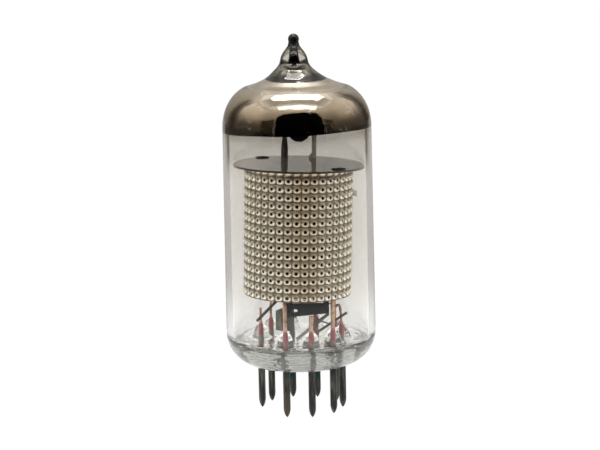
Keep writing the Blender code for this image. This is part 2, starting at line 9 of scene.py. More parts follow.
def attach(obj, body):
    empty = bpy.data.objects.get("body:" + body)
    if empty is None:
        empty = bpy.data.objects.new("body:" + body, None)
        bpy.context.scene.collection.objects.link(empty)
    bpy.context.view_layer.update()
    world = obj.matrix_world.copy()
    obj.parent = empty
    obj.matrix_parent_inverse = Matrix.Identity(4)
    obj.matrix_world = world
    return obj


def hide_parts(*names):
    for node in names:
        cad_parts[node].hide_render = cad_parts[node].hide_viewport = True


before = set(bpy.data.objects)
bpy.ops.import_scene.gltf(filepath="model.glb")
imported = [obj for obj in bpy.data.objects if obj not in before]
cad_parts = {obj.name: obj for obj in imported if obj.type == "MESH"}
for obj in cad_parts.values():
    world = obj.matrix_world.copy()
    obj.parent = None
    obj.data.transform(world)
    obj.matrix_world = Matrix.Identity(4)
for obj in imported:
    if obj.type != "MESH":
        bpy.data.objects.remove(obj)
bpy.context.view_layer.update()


# Base pins
# Nine nickel pins, drawn to a blunt point and blackened by the heat of the sealing flame. They stand on a
# circle with one place left empty, which tells the tube's way round in its socket.

MM = 0.001
PIN_COUNT = 9
PIN_CIRCLE = 5.945 * MM
PIN_PITCH = radians(36)
FIRST_PIN = radians(-22.4)
PIN_RADIUS = 0.508 * MM
PIN_POINT = 1.45 * MM
POINT_STEPS = 10
PIN_ROOT = 7.3 * MM
PIN_ROOT_RADIUS = 0.35 * MM
PIN_TOP = 9.8 * MM
ROUND = 32


class Socket:
    """An output socket. Arithmetic on it adds Math nodes to its tree, and node() adds any other kind."""

    def __init__(self, tree, output=None):
        self.tree = tree
        self.output = output

    def node(self, kind, settings=None, inputs=None, out=0):
        """Adds a node: its settings first, then the values or links of its inputs. Gives one output."""
        made = self.tree.nodes.new(kind)
        for name, value in (settings or {}).items():
            if name == "stops":
                while len(made.color_ramp.elements) < len(value):
                    made.color_ramp.elements.new(1)
                for stop, (place, colour) in zip(made.color_ramp.elements, value):
                    stop.position = place
                    stop.color = (*colour, 1)
            else:
                setattr(made, name, value)
        for key, value in (inputs or {}).items():
            if isinstance(value, Socket):
                self.tree.links.new(value.output, made.inputs[key])
            else:
                made.inputs[key].default_value = value
        return Socket(self.tree, made.outputs[out] if made.outputs else None)

    def math(self, operation, *values):
        return self.node("ShaderNodeMath", {"operation": operation}, dict(enumerate(values)))

    def __add__(self, other):
        return self.math("ADD", self, other)

    def __sub__(self, other):
        return self.math("SUBTRACT", self, other)

    def __rsub__(self, other):
        return self.math("SUBTRACT", other, self)

    def __mul__(self, other):
        return self.math("MULTIPLY", self, other)

    def __truediv__(self, other):
        return self.math("DIVIDE", self, other)

    __radd__ = __add__
    __rmul__ = __mul__


def placed(name, data):
    """A new object in the scene."""
    made = bpy.data.objects.new(name, data)
    bpy.context.scene.collection.objects.link(made)
    return made


def grow(name, build, **sizes):
    """The plain mesh of a Geometry Nodes tree; build gets a socket of it and its named inputs."""
    kinds = {
        int: "NodeSocketInt",
        float: "NodeSocketFloat",
        bpy.types.Object: "NodeSocketObject",
        bpy.types.Material: "NodeSocketMaterial",
    }
    tree = bpy.data.node_groups.new(name, "GeometryNodeTree")
    tree.interface.new_socket("Geometry", in_out="OUTPUT", socket_type="NodeSocketGeometry")
    for label, value in sizes.items():
        tree.interface.new_socket(label, in_out="INPUT", socket_type=kinds[type(value)])
    given = tree.nodes.new("NodeGroupInput")
    named = {output.name: Socket(tree, output) for output in given.outputs if output.name}
    result = tree.nodes.new("NodeGroupOutput")
    tree.links.new(build(Socket(tree), named).output, result.inputs[0])
    holder = placed(name, bpy.data.meshes.new(name))
    grower = holder.modifiers.new(name, "NODES")
    grower.node_group = tree
    for item in tree.interface.items_tree:
        if item.in_out == "INPUT":
            grower[item.identifier] = sizes[item.name]
    return plain_mesh(holder)


def plain_mesh(holder):
    """The evaluated shape of an object as a mesh of its own; the object is removed."""
    bpy.context.view_layer.update()
    graph = bpy.context.evaluated_depsgraph_get()
    mesh = bpy.data.meshes.new_from_object(holder.evaluated_get(graph), depsgraph=graph)
    bpy.data.objects.remove(holder, do_unlink=True)
    return mesh


def skin(name, rings, closed=False):
    """A mesh over rings of points, each ring one point on the axis or a full turn of them."""
    points = [Vector(p) for ring in rings for p in ring]
    starts = np.cumsum([0] + [len(ring) for ring in rings])
    turn = max(len(ring) for ring in rings)
    rows = [[start + i % len(ring) for i in range(turn + 1)] for start, ring in zip(starts, rings)]
    if closed:
        rows.append(rows[0])
    faces = []
    for upper, lower in zip(rows, rows[1:]):
        for i in range(turn):
            corners = (upper[i], lower[i], lower[i + 1], upper[i + 1])
            faces.append([int(c) for c in dict.fromkeys(corners)])
    mesh = bpy.data.meshes.new(name)
    mesh.from_pydata(points, [], faces)
    return shaded(mesh)


def shaded(mesh, sharp=40):
    mesh.shade_smooth()
    mesh.set_sharp_from_angle(angle=radians(sharp))
    return mesh


def ring(radius, height, steps):
    """A full turn of points about the axis, or the one point on it."""
    if radius == 0:
        return [(0, 0, height)]
    angles = [2 * pi * i / steps for i in range(steps)]
    return [(radius * cos(a), radius * sin(a), height) for a in angles]


def turned(name, profile, steps=ROUND):
    """A mesh turned about the axis from (radius, height) points that run down its outer side."""
    return skin(name, [ring(r, z, steps) for r, z in profile])


def around(radius, angle, height):
    """The point at an angle from the front, towards the right, round the tube's axis."""
    return Vector((radius * sin(angle), -radius * cos(angle), height))


def pin_place(number, height=0.0):
    return around(PIN_CIRCLE, FIRST_PIN + PIN_PITCH * (number - 1), height)


def at_pins(make, given):
    """One copy of a piece at every place of the pin circle."""
    index = make.node("GeometryNodeInputIndex")
    angle = index * given["Pitch"] + given["First angle"]
    across = given["Circle"] * make.math("SINE", angle)
    back = given["Circle"] * make.math("COSINE", angle) * -1
    place = make.node("ShaderNodeCombineXYZ", inputs={"X": across, "Y": back})
    places = make.node("GeometryNodePoints", inputs={"Count": given["Count"], "Position": place})
    piece = make.node("GeometryNodeObjectInfo", inputs={"Object": given["Piece"]}, out="Geometry")
    copies = make.node("GeometryNodeInstanceOnPoints", inputs={"Points": places, "Instance": piece})
    whole = make.node("GeometryNodeRealizeInstances", inputs={"Geometry": copies})
    return make.node("GeometryNodeSetMaterial", inputs={"Geometry": whole, "Material": given["Finish"]})


def ring_of(name, one, finish):
    """A mesh with a copy of one mesh at every pin."""
    pattern = placed(f"{name}_pattern", one)
    sizes = {"Count": PIN_COUNT, "Circle": PIN_CIRCLE, "Pitch": PIN_PITCH, "First angle": FIRST_PIN}
    mesh = grow(name, at_pins, **sizes, Piece=pattern, Finish=finish)
    bpy.data.objects.remove(pattern, do_unlink=True)
    return mesh


def fit(name, mesh, slot, finish, *nodes):
    """Puts a finished mesh on the tube in place of the plain nodes it stands for."""
    piece = placed(name, mesh)
    piece.data.materials.clear()
    piece.data.materials.append(finish)
    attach(piece, "root")
    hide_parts(*nodes)
    return piece


def new_finish(name):
    """An empty material, and a socket to add its nodes by."""
    made = bpy.data.materials.new(name)
    made.use_nodes = True
    made.node_tree.nodes.clear()
    return made, Socket(made.node_tree)


def finish_of(build):
    """The material of a function that adds its nodes and gives the inputs of its Principled shader."""
    made, make = new_finish(build.__name__)
    shader = make.node("ShaderNodeBsdfPrincipled", inputs=build(make))
    make.node("ShaderNodeOutputMaterial", inputs={"Surface": shader})
    return made


def grain(make, size, stretch=(1, 1, 1), detail=4.0, kind="ShaderNodeTexNoise", out=0, **inputs):
    """A pattern over the piece whose features are about a size, longer where the stretch is more."""
    place = make.node("ShaderNodeTexCoord", out="Object")
    scale = tuple(1 / (size * s) for s in stretch)
    place = make.node("ShaderNodeMapping", inputs={"Vector": place, "Scale": scale})
    if kind == "ShaderNodeTexNoise":
        inputs["Detail"] = detail
    return make.node(kind, inputs={"Vector": place, "Scale": 1.0, **inputs}, out=out)


def ramp(make, value, *stops):
    """A colour that changes with a value through (place, colour) stops."""
    return make.node("ShaderNodeValToRGB", {"stops": stops}, {"Fac": value})


def mixed(make, share, first, second, blend="MIX"):
    """Two colours mixed by a share of the second."""
    settings = {"data_type": "RGBA", "blend_type": blend, "clamp_factor": True}
    colours = {6: first, 7: second}
    for key, colour in colours.items():
        if not isinstance(colour, Socket):
            colours[key] = (*colour, 1)
    return make.node("ShaderNodeMix", settings, {0: share, **colours}, out=2)


def between(make, value, low, high):
    """0 where a value is under low, 1 where it is over high, and a soft step from one to the other."""
    settings = {"interpolation_type": "SMOOTHSTEP"}
    return make.node("ShaderNodeMapRange", settings, {"Value": value, "From Min": low, "From Max": high})


def bump(make, height, depth):
    """A normal for a relief of a real depth."""
    return make.node("ShaderNodeBump", inputs={"Height": height, "Distance": depth, "Strength": 1.0})


def along(make, axis, vector=None):
    """A coordinate of a vector or, if none is given, of the point itself, in metres."""
    if vector is None:
        vector = make.node("ShaderNodeTexCoord", out="Object")
    return make.node("ShaderNodeSeparateXYZ", inputs={"Vector": vector}, out=axis)


def height_of(make):
    """The height over the pin tips."""
    return along(make, "Z")


def blackened_nickel(make):
    streak = grain(make, 0.35 * MM, (1, 1, 9), 5.0)
    patch = grain(make, 3.0 * MM, (1, 1, 1.5), 2.0)
    stops = [(0.32, (0.012, 0.013, 0.011)), (0.52, (0.042, 0.043, 0.038)), (0.70, (0.15, 0.14, 0.12))]
    grey = ramp(make, streak, *stops)
    tinted = mixed(make, between(make, patch, 0.58, 0.70), grey, (0.012, 0.040, 0.034))
    brown = mixed(make, between(make, patch, 0.44, 0.32), tinted, (0.085, 0.066, 0.048))
    height = height_of(make)
    reddened = mixed(make, between(make, height, 7.0 * MM, 7.6 * MM), brown, (0.24, 0.075, 0.085))
    tone = mixed(make, between(make, height, 8.5 * MM, 9.2 * MM), reddened, (0.20, 0.20, 0.18))
    inputs = {"Base Color": tone, "Metallic": 0.75, "Roughness": streak * 0.45 + 0.2}
    inputs["Normal"] = bump(make, streak, 0.02 * MM)
    return inputs


pin_profile = [(0, PIN_TOP), (PIN_ROOT_RADIUS, PIN_TOP), (PIN_ROOT_RADIUS, PIN_ROOT), (PIN_RADIUS, PIN_ROOT)]
pin_profile.append((PIN_RADIUS, PIN_POINT))
for i in range(1, POINT_STEPS + 1):
    share = i / POINT_STEPS
    pin_profile.append((PIN_RADIUS * (1 - share**2) ** 0.75, PIN_POINT * (1 - share)))
pin_profile[-1] = (0, 0)
pin_finish = finish_of(blackened_nickel)
pins = ring_of("base_pins", turned("one_pin", pin_profile), pin_finish)
pin_nodes = [f"base_pin_{n}" for n in range(1, PIN_COUNT + 1)]
fit("base_pins", shaded(pins), "pin_oxide", pin_finish, *pin_nodes)


# Seal wires
# Copper-clad iron wires, welded to the pins and pressed into the hot glass. The copper oxide that the
# glass wets is a dark wine red, and it shows through the stem.

SEAL_RADIUS = 0.27 * MM
SEAL_TOP = 12.8 * MM


def wetted_copper(make):
    streak = grain(make, 0.3 * MM, (1, 1, 6), 4.0)
    stops = [(0.3, (0.26, 0.05, 0.065)), (0.55, (0.43, 0.105, 0.125)), (0.8, (0.56, 0.20, 0.20))]
    red = ramp(make, streak, *stops)
    tone = mixed(make, between(make, height_of(make), 11.1 * MM, 10.5 * MM), red, (0.22, 0.19, 0.17))
    return {"Base Color": tone, "Metallic": 0.25, "Roughness": streak * 0.3 + 0.25}


seal_profile = [(0, SEAL_TOP), (SEAL_RADIUS, SEAL_TOP), (SEAL_RADIUS, PIN_TOP), (0, PIN_TOP)]
seal_finish = finish_of(wetted_copper)
seals = ring_of("seal_wires", turned("one_seal", seal_profile), seal_finish)
seal_nodes = [f"seal_wire_{n}" for n in range(1, PIN_COUNT + 1)]
fit("seal_wires", shaded(seals), "seal_copper", seal_finish, *seal_nodes)


# Inner lead wires
# Nickel-plated copper wires that go on from the seals. Some stand straight and are cut off at the part they
# are welded to, others bend across to a grid rod, the anode lug or the shield.

LEAD_RADIUS = 0.3 * MM
THIN_LEAD_RADIUS = 0.2 * MM
THIN_LEADS = (4, 8, 9)
LEAD_BOTTOM = SEAL_TOP
WIRE_BEND = 0.5 * MM


def millimetres(*point):
    return Vector(point) * MM


def bent(points, reach=WIRE_BEND, steps=6):
    """The points of a wire's run with each corner rounded, starting a reach from the corner."""
    run = [points[0]]
    for before, corner, after in zip(points, points[1:], points[2:]):
        come = corner + (before - corner).normalized() * min(reach, (before - corner).length * 0.45)
        leave = corner + (after - corner).normalized() * min(reach, (after - corner).length * 0.45)
        for i in range(steps + 1):
            t = i / steps
            run.append(come * (1 - t) ** 2 + corner * 2 * t * (1 - t) + leave * t**2)
    return [*run, points[-1]]


def wire(name, points, radius, sides=4):
    """A round wire along a run of points."""
    data = bpy.data.curves.new(name, "CURVE")
    data.dimensions = "3D"
    data.bevel_depth = radius
    data.bevel_resolution = sides
    data.use_fill_caps = True
    run = data.splines.new("POLY")
    run.points.add(len(points) - 1)
    for place, point in zip(run.points, points):
        place.co = (*point, 1)
    mesh = plain_mesh(placed(name, data))
    welded = bmesh.new()
    welded.from_mesh(mesh)
    bmesh.ops.remove_doubles(welded, verts=welded.verts, dist=1e-7)
    bmesh.ops.recalc_face_normals(welded, faces=welded.faces)
    welded.to_mesh(mesh)
    welded.free()
    return shaded(mesh)


def plated_copper(make):
    streak = grain(make, 0.25 * MM, (1, 1, 5), 5.0)
    patch = grain(make, 1.4 * MM, (1, 1, 1), 3.0)
    stops = [(0.3, (0.28, 0.165, 0.11)), (0.52, (0.47, 0.305, 0.215)), (0.75, (0.66, 0.50, 0.385))]
    tan = ramp(make, streak, *stops)
    dull = mixed(make, between(make, patch, 0.52, 0.68), tan, (0.17, 0.10, 0.07))
    inputs = {"Base Color": dull, "Metallic": 0.7, "Roughness": streak * 0.35 + 0.25}
    inputs["Normal"] = bump(make, streak, 0.015 * MM)
    return inputs


lead_runs = {
    1: [pin_place(1, 16.9 * MM), millimetres(-2.2, -4.7, 17.1), millimetres(-2.1, -0.45, 17.1)],
    2: [pin_place(2, 15.0 * MM)],
    3: [pin_place(3, 17.6 * MM)],
    4: [millimetres(5.75, -0.46, 15.1), millimetres(5.55, -0.5, 15.5), millimetres(4.7, -0.65, 14.9)],
    5: [pin_place(5, 15.6 * MM)],
    6: [pin_place(6, 15.6 * MM), millimetres(0.6, 4.65, 16.8), millimetres(-0.3, 4.62, 16.9)],
    7: [pin_place(7, 15.9 * MM), millimetres(-1.62, 6.8, 17.3), millimetres(-1.62, 6.85, 17.8)],
    8: [pin_place(8, 15.0 * MM), millimetres(-3.45, 1.0, 17.1), millimetres(-3.3, 0.66, 17.3)],
    9: [pin_place(9, 15.0 * MM)],
}
lead_finish = finish_of(plated_copper)
for number, ends in lead_runs.items():
    radius = THIN_LEAD_RADIUS if number in THIN_LEADS else LEAD_RADIUS
    run = bent([pin_place(number, LEAD_BOTTOM), *ends])
    lead = wire(f"inner_lead_{number}", run, radius)
    fit(f"inner_lead_{number}", lead, "lead_copper", lead_finish, f"lead_wire_{number}")


# Cathode, heater, grids and anode
# The working electrodes: a nickel sleeve with a white-coated heater folded inside it, three grids of fine
# wire on plated side rods, and a blackened oval anode. They show only as dark through the shield's holes.


def repaint(finish, *nodes):
    """Gives nodes whose shape is right a better finish."""
    for node in nodes:
        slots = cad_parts[node].data.materials
        slots.clear()
        slots.append(finish)


def bright_nickel(make):
    streak = grain(make, 0.2 * MM, (1, 1, 14), 4.0)
    stops = [(0.3, (0.42, 0.37, 0.29)), (0.6, (0.66, 0.60, 0.50)), (0.8, (0.78, 0.73, 0.64))]
    tone = ramp(make, streak, *stops)
    inputs = {"Base Color": tone, "Metallic": 1.0, "Roughness": streak * 0.3 + 0.15}
    inputs["Normal"] = bump(make, streak, 0.01 * MM)
    return inputs


def carbon_black(make):
    soot = grain(make, 0.12 * MM, (1, 1, 1), 6.0)
    worn = grain(make, 1.2 * MM, (1, 1, 1), 4.0)
    black = ramp(make, soot, (0.35, (0.003, 0.003, 0.003)), (0.7, (0.012, 0.011, 0.011)))
    rubbed = mixed(make, between(make, worn, 0.60, 0.75), black, (0.032, 0.028, 0.024))
    inputs = {"Base Color": rubbed, "Specular IOR Level": 0.05, "Roughness": soot * 0.3 + 0.4}
    inputs["Normal"] = bump(make, soot, 0.02 * MM)
    return inputs


def sprayed_alumina(make):
    speck = grain(make, 0.06 * MM, (1, 1, 1), 6.0)
    white = ramp(make, speck, (0.3, (0.62, 0.60, 0.57)), (0.6, (0.82, 0.81, 0.79)))
    bare = ramp(make, speck, (0.3, (0.05, 0.035, 0.028)), (0.7, (0.12, 0.09, 0.07)))
    coated = between(make, height_of(make), 15.4 * MM, 15.6 * MM)
    inputs = {"Base Color": mixed(make, coated, bare, white), "Roughness": coated * 0.4 + 0.45}
    inputs["Normal"] = bump(make, speck, 0.02 * MM)
    return inputs


nickel_finish = finish_of(bright_nickel)
black_finish = finish_of(carbon_black)
grids = ("control_grid", "screen_grid", "suppressor_grid")
rods = [f"{grid}_rod_{side}" for grid in grids for side in ("left", "right")]
repaint(nickel_finish, "cathode_sleeve", *rods, *(f"{grid}_winding" for grid in grids))
repaint(black_finish, "anode", "anode_lug")
repaint(finish_of(sprayed_alumina), "heater")


# Mica spacers
# Two punched discs of split mica hold the electrodes upright and apart. The upper one is wider than the
# shield and steadies the whole stack against the bulb. Its cleaved face is glossy.

MICA_THICKNESS = 0.3 * MM
TOP_MICA_RADIUS = 9.52 * MM
TOP_MICA_HEIGHT = 35.9 * MM
MICA_EDGE = 0.05 * MM
MICA_STEPS = 128
MOUNT_TILT = radians(1.9)
MOUNT_PIVOT = millimetres(0, 0, 28.5)
MOUNT_SHIFT = millimetres(-0.1, 0, -0.1)
MICA_LEAN = radians(-1.0)
MICA_LIFT = millimetres(0, 0, 0.2)
BOTTOM_MICA_TRIM = 0.985


def tilted(mesh, pivot=MOUNT_PIVOT, shift=MOUNT_SHIFT):
    """The mesh tilted to the right, as the whole mount settled in its glass."""
    turn = Matrix.Rotation(MOUNT_TILT, 4, "Y")
    mesh.transform(Matrix.Translation(pivot + shift) @ turn @ Matrix.Translation(-pivot))
    return mesh


def on_mica(mesh):
    """The mesh raised with the upper mica, whose front edge sits a little high, and tilted with the mount."""
    middle = Vector((0, 0, TOP_MICA_HEIGHT + MICA_THICKNESS / 2))
    lean = Matrix.Rotation(MICA_LEAN, 4, "X")
    mesh.transform(Matrix.Translation(middle + MICA_LIFT) @ lean @ Matrix.Translation(-middle))
    return tilted(mesh)


def from_axis(make):
    """The way out from the mount's own axis, which tilts with it."""
    place = make.node("ShaderNodeTexCoord", out="Object")
    middle = MOUNT_PIVOT + MOUNT_SHIFT
    place = make.node("ShaderNodeVectorMath", {"operation": "SUBTRACT"}, {0: place, 1: middle})
    upright = {"Vector": place, "Angle": -MOUNT_TILT}
    place = make.node("ShaderNodeVectorRotate", {"rotation_type": "Y_AXIS"}, upright)
    return make.node("ShaderNodeVectorMath", {"operation": "MULTIPLY"}, {0: place, 1: (1, 1, 0)})


def length_of(make, vector):
    return make.node("ShaderNodeVectorMath", {"operation": "LENGTH"}, {0: vector}, out="Value")


def split_mica(make):
    cloud = grain(make, 3.5 * MM, (1, 1, 1), 5.0)
    flake = grain(make, 0.7 * MM, (1, 1, 0.2), 3.0, "ShaderNodeTexVoronoi", "Distance")
    # Painted light across the disc: paler and more metallic to the left as a painted reflection, and brown to
    # the right as painted shade.
    painted_shade_right = between(make, along(make, "X") + cloud * 4 * MM, -6 * MM, 2 * MM)
    pale = ramp(make, cloud, (0.3, (0.38, 0.345, 0.305)), (0.7, (0.54, 0.50, 0.455)))
    brown = ramp(make, cloud, (0.3, (0.07, 0.057, 0.047)), (0.7, (0.135, 0.115, 0.098)))
    tone = mixed(make, painted_shade_right, pale, brown)
    out = length_of(make, from_axis(make))
    # Painted shade: a thin dark line round the disc's rim, for its edge in shade.
    rim = between(make, out, TOP_MICA_RADIUS - 0.10 * MM, TOP_MICA_RADIUS - 0.05 * MM)
    tone = mixed(make, rim, tone, (0.03, 0.027, 0.022))
    inputs = {"Base Color": tone, "Roughness": cloud * 0.04 + 0.03, "Specular IOR Level": 0.26}
    inputs["Metallic"] = 0.55 - painted_shade_right * 0.55
    inputs["Normal"] = bump(make, flake, 0.004 * MM)
    return inputs


mica_finish = finish_of(split_mica)
mica_top = TOP_MICA_HEIGHT + MICA_THICKNESS
mica_profile = [
    (0, mica_top),
    (TOP_MICA_RADIUS - MICA_EDGE, mica_top),
    (TOP_MICA_RADIUS, mica_top - MICA_EDGE),
    (TOP_MICA_RADIUS, TOP_MICA_HEIGHT + MICA_EDGE),
    (TOP_MICA_RADIUS - MICA_EDGE, TOP_MICA_HEIGHT),
    (0, TOP_MICA_HEIGHT),
]
top_disc = on_mica(turned("top_mica_disc", mica_profile, MICA_STEPS))
fit("top_mica_disc", top_disc, "mica", mica_finish, "top_mica")
bottom_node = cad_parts["bottom_mica"]
bottom_disc = bottom_node.data.copy()
bottom_disc.transform(bottom_node.matrix_world)
bottom_disc.transform(Matrix.Diagonal((BOTTOM_MICA_TRIM, BOTTOM_MICA_TRIM, 1, 1)))
fit("bottom_mica_disc", tilted(bottom_disc), "mica", mica_finish, "bottom_mica")


# Perforated shield
# A nickel sheet punched from behind, so that every hole stands in a small collar, then rolled into a tube
# round the electrodes. It is dull, with painted shade in the grooves and at the front, and one ear of its
# seam sticks out.

SHIELD_RADIUS = 7.66 * MM
SHIELD_SHEET = 0.15 * MM
SHIELD_BOTTOM = 17.5 * MM
SHIELD_COLUMNS = 40
SHIELD_ROWS = 15
ROW_PITCH = 1.2 * MM
COLUMN_PITCH = 2 * pi * SHIELD_RADIUS / SHIELD_COLUMNS
TOP_BAND = 0.5 * MM
SHIELD_TURN = radians(2.8)
COLLAR_SIDES = 12
COLLAR_STEPS = [
    (0.58, 0.01),
    (0.51, 0.08),
    (0.42, 0.16),
    (0.33, 0.215),
    (0.27, 0.225),
    (0.225, 0.17),
    (0.19, -0.15),
]
COLLAR_SQUARE = 2.5
RIB_RISE = 0.16 * MM
EAR_WIDTH = millimetres(0, 0, 0.85)
# How far right of the front the painted shade on the shield's front is centred.
FRONT_SHADE_ASIDE = 0.8 * MM


def collar_cell():
    """One cell of the flat sheet: a collar pushed up round its hole, on a rib that runs up the sheet."""
    square = []
    for i in range(COLLAR_SIDES):
        a = 2 * pi * (i + 0.5) / COLLAR_SIDES
        reach = 1 / max(abs(cos(a)), abs(sin(a)))
        square.append((reach * cos(a) * COLUMN_PITCH / 2, reach * sin(a) * ROW_PITCH / 2))
    corner_steps = {1: (1, 1), 4: (-1, 1), 7: (-1, -1), 10: (1, -1)}
    for i, (right, up) in corner_steps.items():
        square[i] = (right * COLUMN_PITCH / 2, up * ROW_PITCH / 2)
    rings = [[(x, y, RIB_RISE if abs(x) < COLUMN_PITCH / 4 else 0) for x, y in square]]
    angles = [2 * pi * (i + 0.5) / COLLAR_SIDES for i in range(COLLAR_SIDES)]
    for radius, rise in COLLAR_STEPS:
        power = COLLAR_SQUARE if radius > 0.3 else 2
        reach = [radius * MM / (abs(cos(a)) ** power + abs(sin(a)) ** power) ** (1 / power) for a in angles]
        rings.append([(r * cos(a), r * sin(a), rise * MM) for r, a in zip(reach, angles)])
    rings.append([(x, y, -SHIELD_SHEET) for x, y in square])
    return skin("collar_cell", rings)


def rolled_sheet(make, given):
    """A grid of cells, rolled round the axis."""
    grid = {
        "Vertices X": given["Columns"],
        "Vertices Y": given["Rows"],
        "Size X": (given["Columns"] - 1) * given["Column pitch"],
        "Size Y": (given["Rows"] - 1) * given["Row pitch"],
    }
    places = make.node("GeometryNodeMeshGrid", inputs=grid)
    cell = make.node("GeometryNodeObjectInfo", inputs={"Object": given["Cell"]}, out="Geometry")
    copies = make.node("GeometryNodeInstanceOnPoints", inputs={"Points": places, "Instance": cell})
    flat = make.node("GeometryNodeRealizeInstances", inputs={"Geometry": copies})
    place = make.node("GeometryNodeInputPosition")
    x, y, z = (along(make, axis, place) for axis in "XYZ")
    angle = x / given["Radius"] + given["Turn"]
    out = z + given["Radius"]
    rolled = {"X": out * make.math("SINE", angle), "Y": out * make.math("COSINE", angle) * -1}
    rolled["Z"] = y + given["Rows"] * given["Row pitch"] / 2
    place = make.node("ShaderNodeCombineXYZ", inputs=rolled)
    rolled = make.node("GeometryNodeSetPosition", inputs={"Geometry": flat, "Position": place})
    whole = make.node("GeometryNodeMergeByDistance", inputs={"Geometry": rolled, "Distance": 1e-6})
    return make.node("GeometryNodeSetMaterial", inputs={"Geometry": whole, "Material": given["Finish"]})


def angle_of(make, flat, aside=0.0):
    """How far round from the front, towards the right, a way out from an axis points."""
    return make.math("ARCTAN2", along(make, "X", flat) - aside, along(make, "Y", flat) * -1)


def dull_nickel(make):
    """Matt nickel with painted shade in the grooves and at the front, that mirrors less where light grazes
    it.
    """
    flat = from_axis(make)
    out = length_of(make, flat)
    rise = between(make, out, SHIELD_RADIUS, SHIELD_RADIUS + 0.13 * MM)
    speck = grain(make, 0.15 * MM, (1, 1, 1), 5.0)
    patch = grain(make, 4.0 * MM, (1, 1, 1), 3.0)
    stops = [(0.3, (0.78, 0.73, 0.62)), (0.6, (0.93, 0.88, 0.77)), (0.8, (0.98, 0.95, 0.87))]
    crest = ramp(make, speck, *stops)
    # Painted shade: the grooves between the collars are dark brown, for the shade in them.
    painted_groove_shade = mixed(make, patch, (0.16, 0.125, 0.085), (0.30, 0.255, 0.19))
    tone = mixed(make, rise, painted_groove_shade, crest)
    # Painted shade: the shield is darker and browner at its front.
    turn = make.math("ABSOLUTE", angle_of(make, flat, FRONT_SHADE_ASIDE))
    painted_front_shade = between(make, turn + patch * 0.2, 0.56, 0.2) * 0.62
    tone = mixed(make, painted_front_shade, tone, (0.70, 0.60, 0.48), "MULTIPLY")
    inputs = {"Base Color": tone, "Metallic": 0.85, "Roughness": speck * 0.25 + 0.2}
    inputs["Specular Tint"] = (0.20, 0.24, 0.20, 1)
    inputs["Normal"] = bump(make, speck, 0.012 * MM)
    return inputs


def hemmed(mesh):
    """Closes the sheet's two rims, the upper one after it is drawn up to a plain band."""
    sheet = bmesh.new()
    sheet.from_mesh(mesh)
    tall = SHIELD_ROWS * ROW_PITCH
    for level, lift in ((0, 0), (tall, TOP_BAND)):
        rim = [e for e in sheet.edges if e.is_boundary and abs(e.verts[0].co.z - level) < 1e-5]
        for point in {p for edge in rim for p in edge.verts}:
            point.co.z += lift
        bmesh.ops.bridge_loops(sheet, edges=rim)
    bmesh.ops.translate(sheet, verts=sheet.verts, vec=(0, 0, SHIELD_BOTTOM))
    bmesh.ops.recalc_face_normals(sheet, faces=sheet.faces)
    sheet.to_mesh(mesh)
    sheet.free()
    return shaded(mesh, 50)


def mesh_of(name, body):
    """A body's faces as a mesh; the body is freed."""
    mesh = bpy.data.meshes.new(name)
    body.to_mesh(mesh)
    body.free()
    return mesh


def strip(name, path, across, thickness):
    """A flat strip along a path that bends."""
    run = bent(path, thickness * 2, 4)
    half = across / 2
    flow = [(b - a).normalized() for a, b in zip([run[0], *run], [*run[1:], run[-1]]) if (b - a).length > 0]
    flow = [flow[min(i, len(flow) - 1)] for i in range(len(run))]
    rings = []
    for point, ahead in zip(run, flow):
        out = ahead.cross(across).normalized() * thickness / 2
        rings.append([point - half - out, point + half - out, point + half + out, point - half + out])
    body = bmesh.new()
    corners = [[body.verts.new(p) for p in four] for four in rings]
    for lower, upper in zip(corners, corners[1:]):
        for i in range(4):
            body.faces.new((lower[i], lower[(i + 1) % 4], upper[(i + 1) % 4], upper[i]))
    body.faces.new(corners[0][::-1])
    body.faces.new(corners[-1])
    bmesh.ops.recalc_face_normals(body, faces=body.faces)
    return shaded(mesh_of(name, body))


def joined(name, *parts):
    """One mesh of several."""
    whole = bmesh.new()
    for part in parts:
        whole.from_mesh(part)
    return mesh_of(name, whole)


shield_finish = finish_of(dull_nickel)
cell = placed("collar_cell", collar_cell())
shield_sizes = {
    "Columns": SHIELD_COLUMNS,
    "Rows": SHIELD_ROWS,
    "Column pitch": COLUMN_PITCH,
    "Row pitch": ROW_PITCH,
    "Radius": SHIELD_RADIUS,
    "Turn": SHIELD_TURN,
}
shield = grow("collared_shield", rolled_sheet, **shield_sizes, Cell=cell, Finish=shield_finish)
bpy.data.objects.remove(cell, do_unlink=True)
ear_path = [millimetres(7.3, 0.3, 32.2), millimetres(8.0, 0.15, 32.2), millimetres(8.55, 0, 32.1)]
ear = strip("seam_ear", ear_path, EAR_WIDTH, SHIELD_SHEET)
shield = shaded(joined("collared_shield", hemmed(shield), ear), 50)
fit("collared_shield", tilted(shield), "dull_nickel", shield_finish, "perforated_shield")


# Shield tabs and getter posts
# Strips of sheet bent at right angles. Two blackened tabs come up from the shield through the mica and fold
# outwards on it. Two posts, one sooted and one bright, rise behind the electrodes to carry the getter cup.

TAB_ANGLE = radians(42)
TAB_WIDTH = 1.5 * MM
TAB_SHEET = 0.12 * MM
TAB_LINE = 7.52 * MM
TAB_FOOT = 34.5 * MM
TAB_REACH = 8.9 * MM
TAB_GAP = 0.05 * MM
POST_SHEET = 0.2 * MM
POST_DEPTH = 6.85 * MM
POST_FOOT = 33.5 * MM
POST_REACH = 1.4 * MM
POST_BEND = 40.6 * MM
CUP_PIVOT = millimetres(0, 4.9, 39.0)


def drawn(mesh, place, *waists):
    """The strip drawn in or out to a share of its width at each height, about a place that stays."""
    heights, shares = zip(*waists)
    for point in mesh.vertices:
        point.co.x = place + (point.co.x - place) * np.interp(point.co.z / MM, heights, shares)
    return mesh


